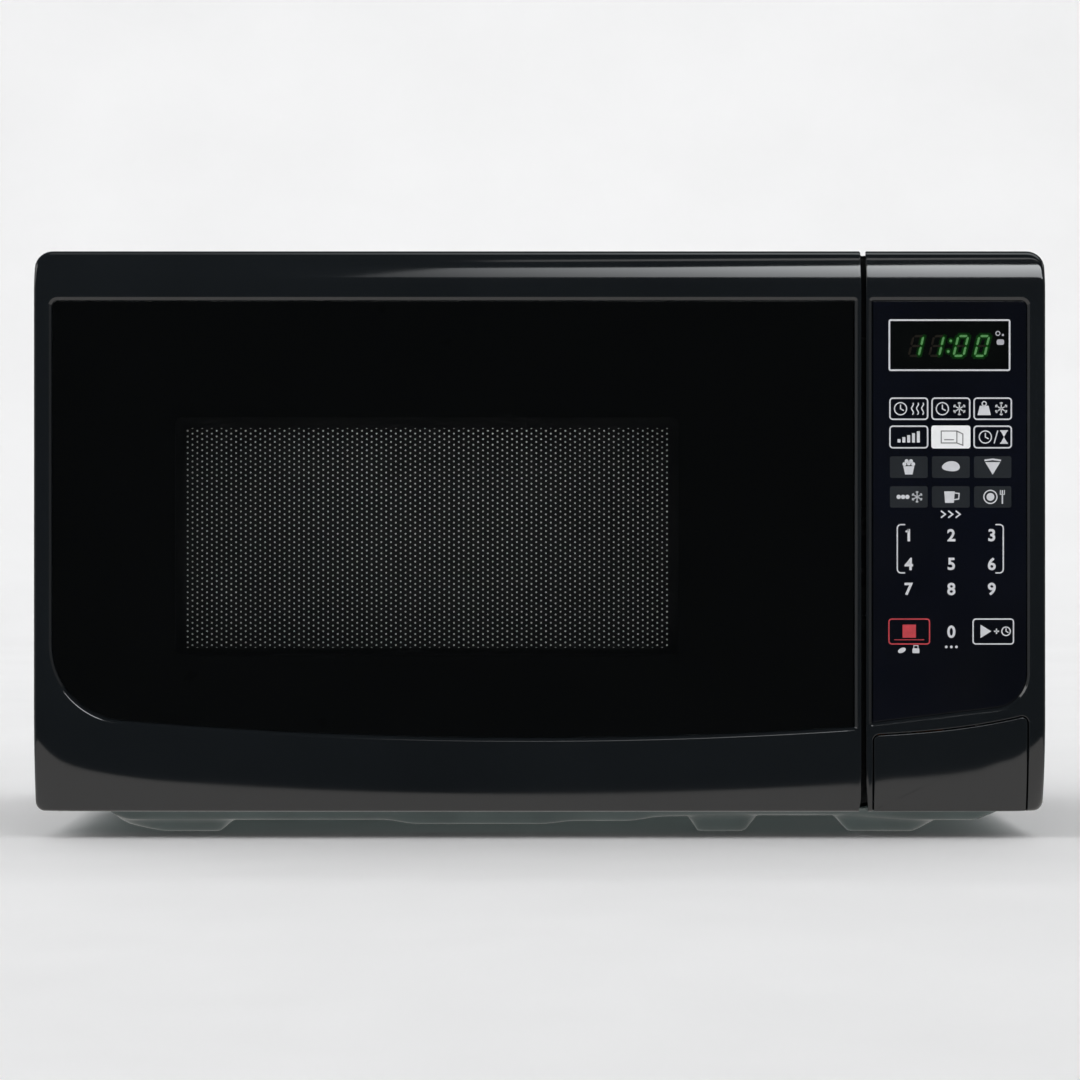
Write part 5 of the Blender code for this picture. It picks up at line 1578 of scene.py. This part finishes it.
def studio():
    bpy.context.scene.view_settings.view_transform = "Standard"
    sweep = plain_floor()
    studio_world()
    y, face_z = FRONT * MM - 1.5, 0.247

    def height(degrees, reach=1.5):
        return face_z + reach * math.tan(math.radians(degrees))

    low, high = height(31.6), height(50.8)
    corners = [(-0.165, y, low), (1.2, y, low), (1.2, y, high), (0.42, y, high), (0.11, y, height(46.6))]
    corners.append((-0.09, y, height(45.6)))
    emitter("front_softbox", corners, (0.95, 0.98, 1.0), 8.4,
            [("X", -0.165, 0.40, 0.13, 1.08), ("Z", low, height(47.0), 0.70, 1.20)])
    corners = [(-0.05, y, 2.44), (1.2, y, 3.30), (1.2, y, 3.70), (-0.05, y, 2.70)]
    emitter("ceiling_strip", corners, (1.0, 1.0, 1.0), 2.0, [("X", -0.05, 0.4, 0.6, 1.0)])
    corners = [(-0.5, -0.25, 1.75), (1.2, -0.25, 1.75), (1.2, 0.5, 1.75), (-0.5, 0.5, 1.75)]
    emitter("overhead", corners, (0.93, 0.98, 1.0), 1.7, [("X", -0.3, 0.15, 0.25, 1.0)])
    for name, x, y_start, strength in (("left_wall", -1.6, 0.1, 0.95), ("right_wall", 1.6, 0.1, 0.4),
                                       ("left_side", -1.6, -1.3, 0.45), ("right_side", 1.6, -1.3, 0.25)):
        y_end = 1.9 if y_start > 0 else 0.1
        corners = [(x, y_start, -0.3), (x, y_end, -0.3), (x, y_end, 1.3), (x, y_start, 1.3)]
        emitter(name, corners, (1.0, 1.0, 1.0), strength)
    area_light("left_fill", (-1.6, -0.5, 0.9), (0, 0, 0.1), (0.9, 1.2), 9)
    area_light("right_fill", (1.7, 0.2, 0.8), (0, 0, 0.1), (0.9, 1.2), 4)
    rear = area_light("back_fill", (-0.2, 1.9, 0.9), (0, 0, 0.12), (2.6, 1.6), 17)
    spared = bpy.data.collections.new("spared_by_back_fill")
    spared.objects.link(sweep)
    spared.collection_objects[0].light_linking.link_state = "EXCLUDE"
    rear.light_linking.receiver_collection = spared
    area_light("front_fill", (0.3, -2.2, 2.0), (0, 0, 0.1), (1.4, 1.0), 7.5, glossy=False)
    area_light("backdrop_wash", (0.0, 2.2, 3.0), (0, 3.9, 0.2), (5.0, 1.2), 50, glossy=False)
    area_light("cavity_glow", (-0.047, 0.02, 0.228), (-0.047, 0.0, 0.0), (0.2, 0.16), 0.5, (1.0, 0.98, 0.95), False)


def camera():
    """Level and square on, as far away as a product photograph is taken."""
    distance, frame_width = 1760.0, 469.5
    data = bpy.data.cameras.new("camera")
    data.sensor_width = 36.0
    data.lens = 36.0 * distance / frame_width
    holder = linked("camera", data)
    holder.location = at(0.2, FRONT - distance, 127.7)
    holder.rotation_euler = (math.pi / 2, 0.0, 0.0)
    bpy.context.scene.camera = holder


studio()
camera()
door_bezel()
door_window()
door_screen()
latch_spring()
control_panel()
open_button()
keypad_membrane()
keypad_print()
display()
outer_wrapper()
base_plate()
back_panel()
rear_screws()
cord_gland()
oven_cavity()
glass_tray()
roller_ring()
softened()
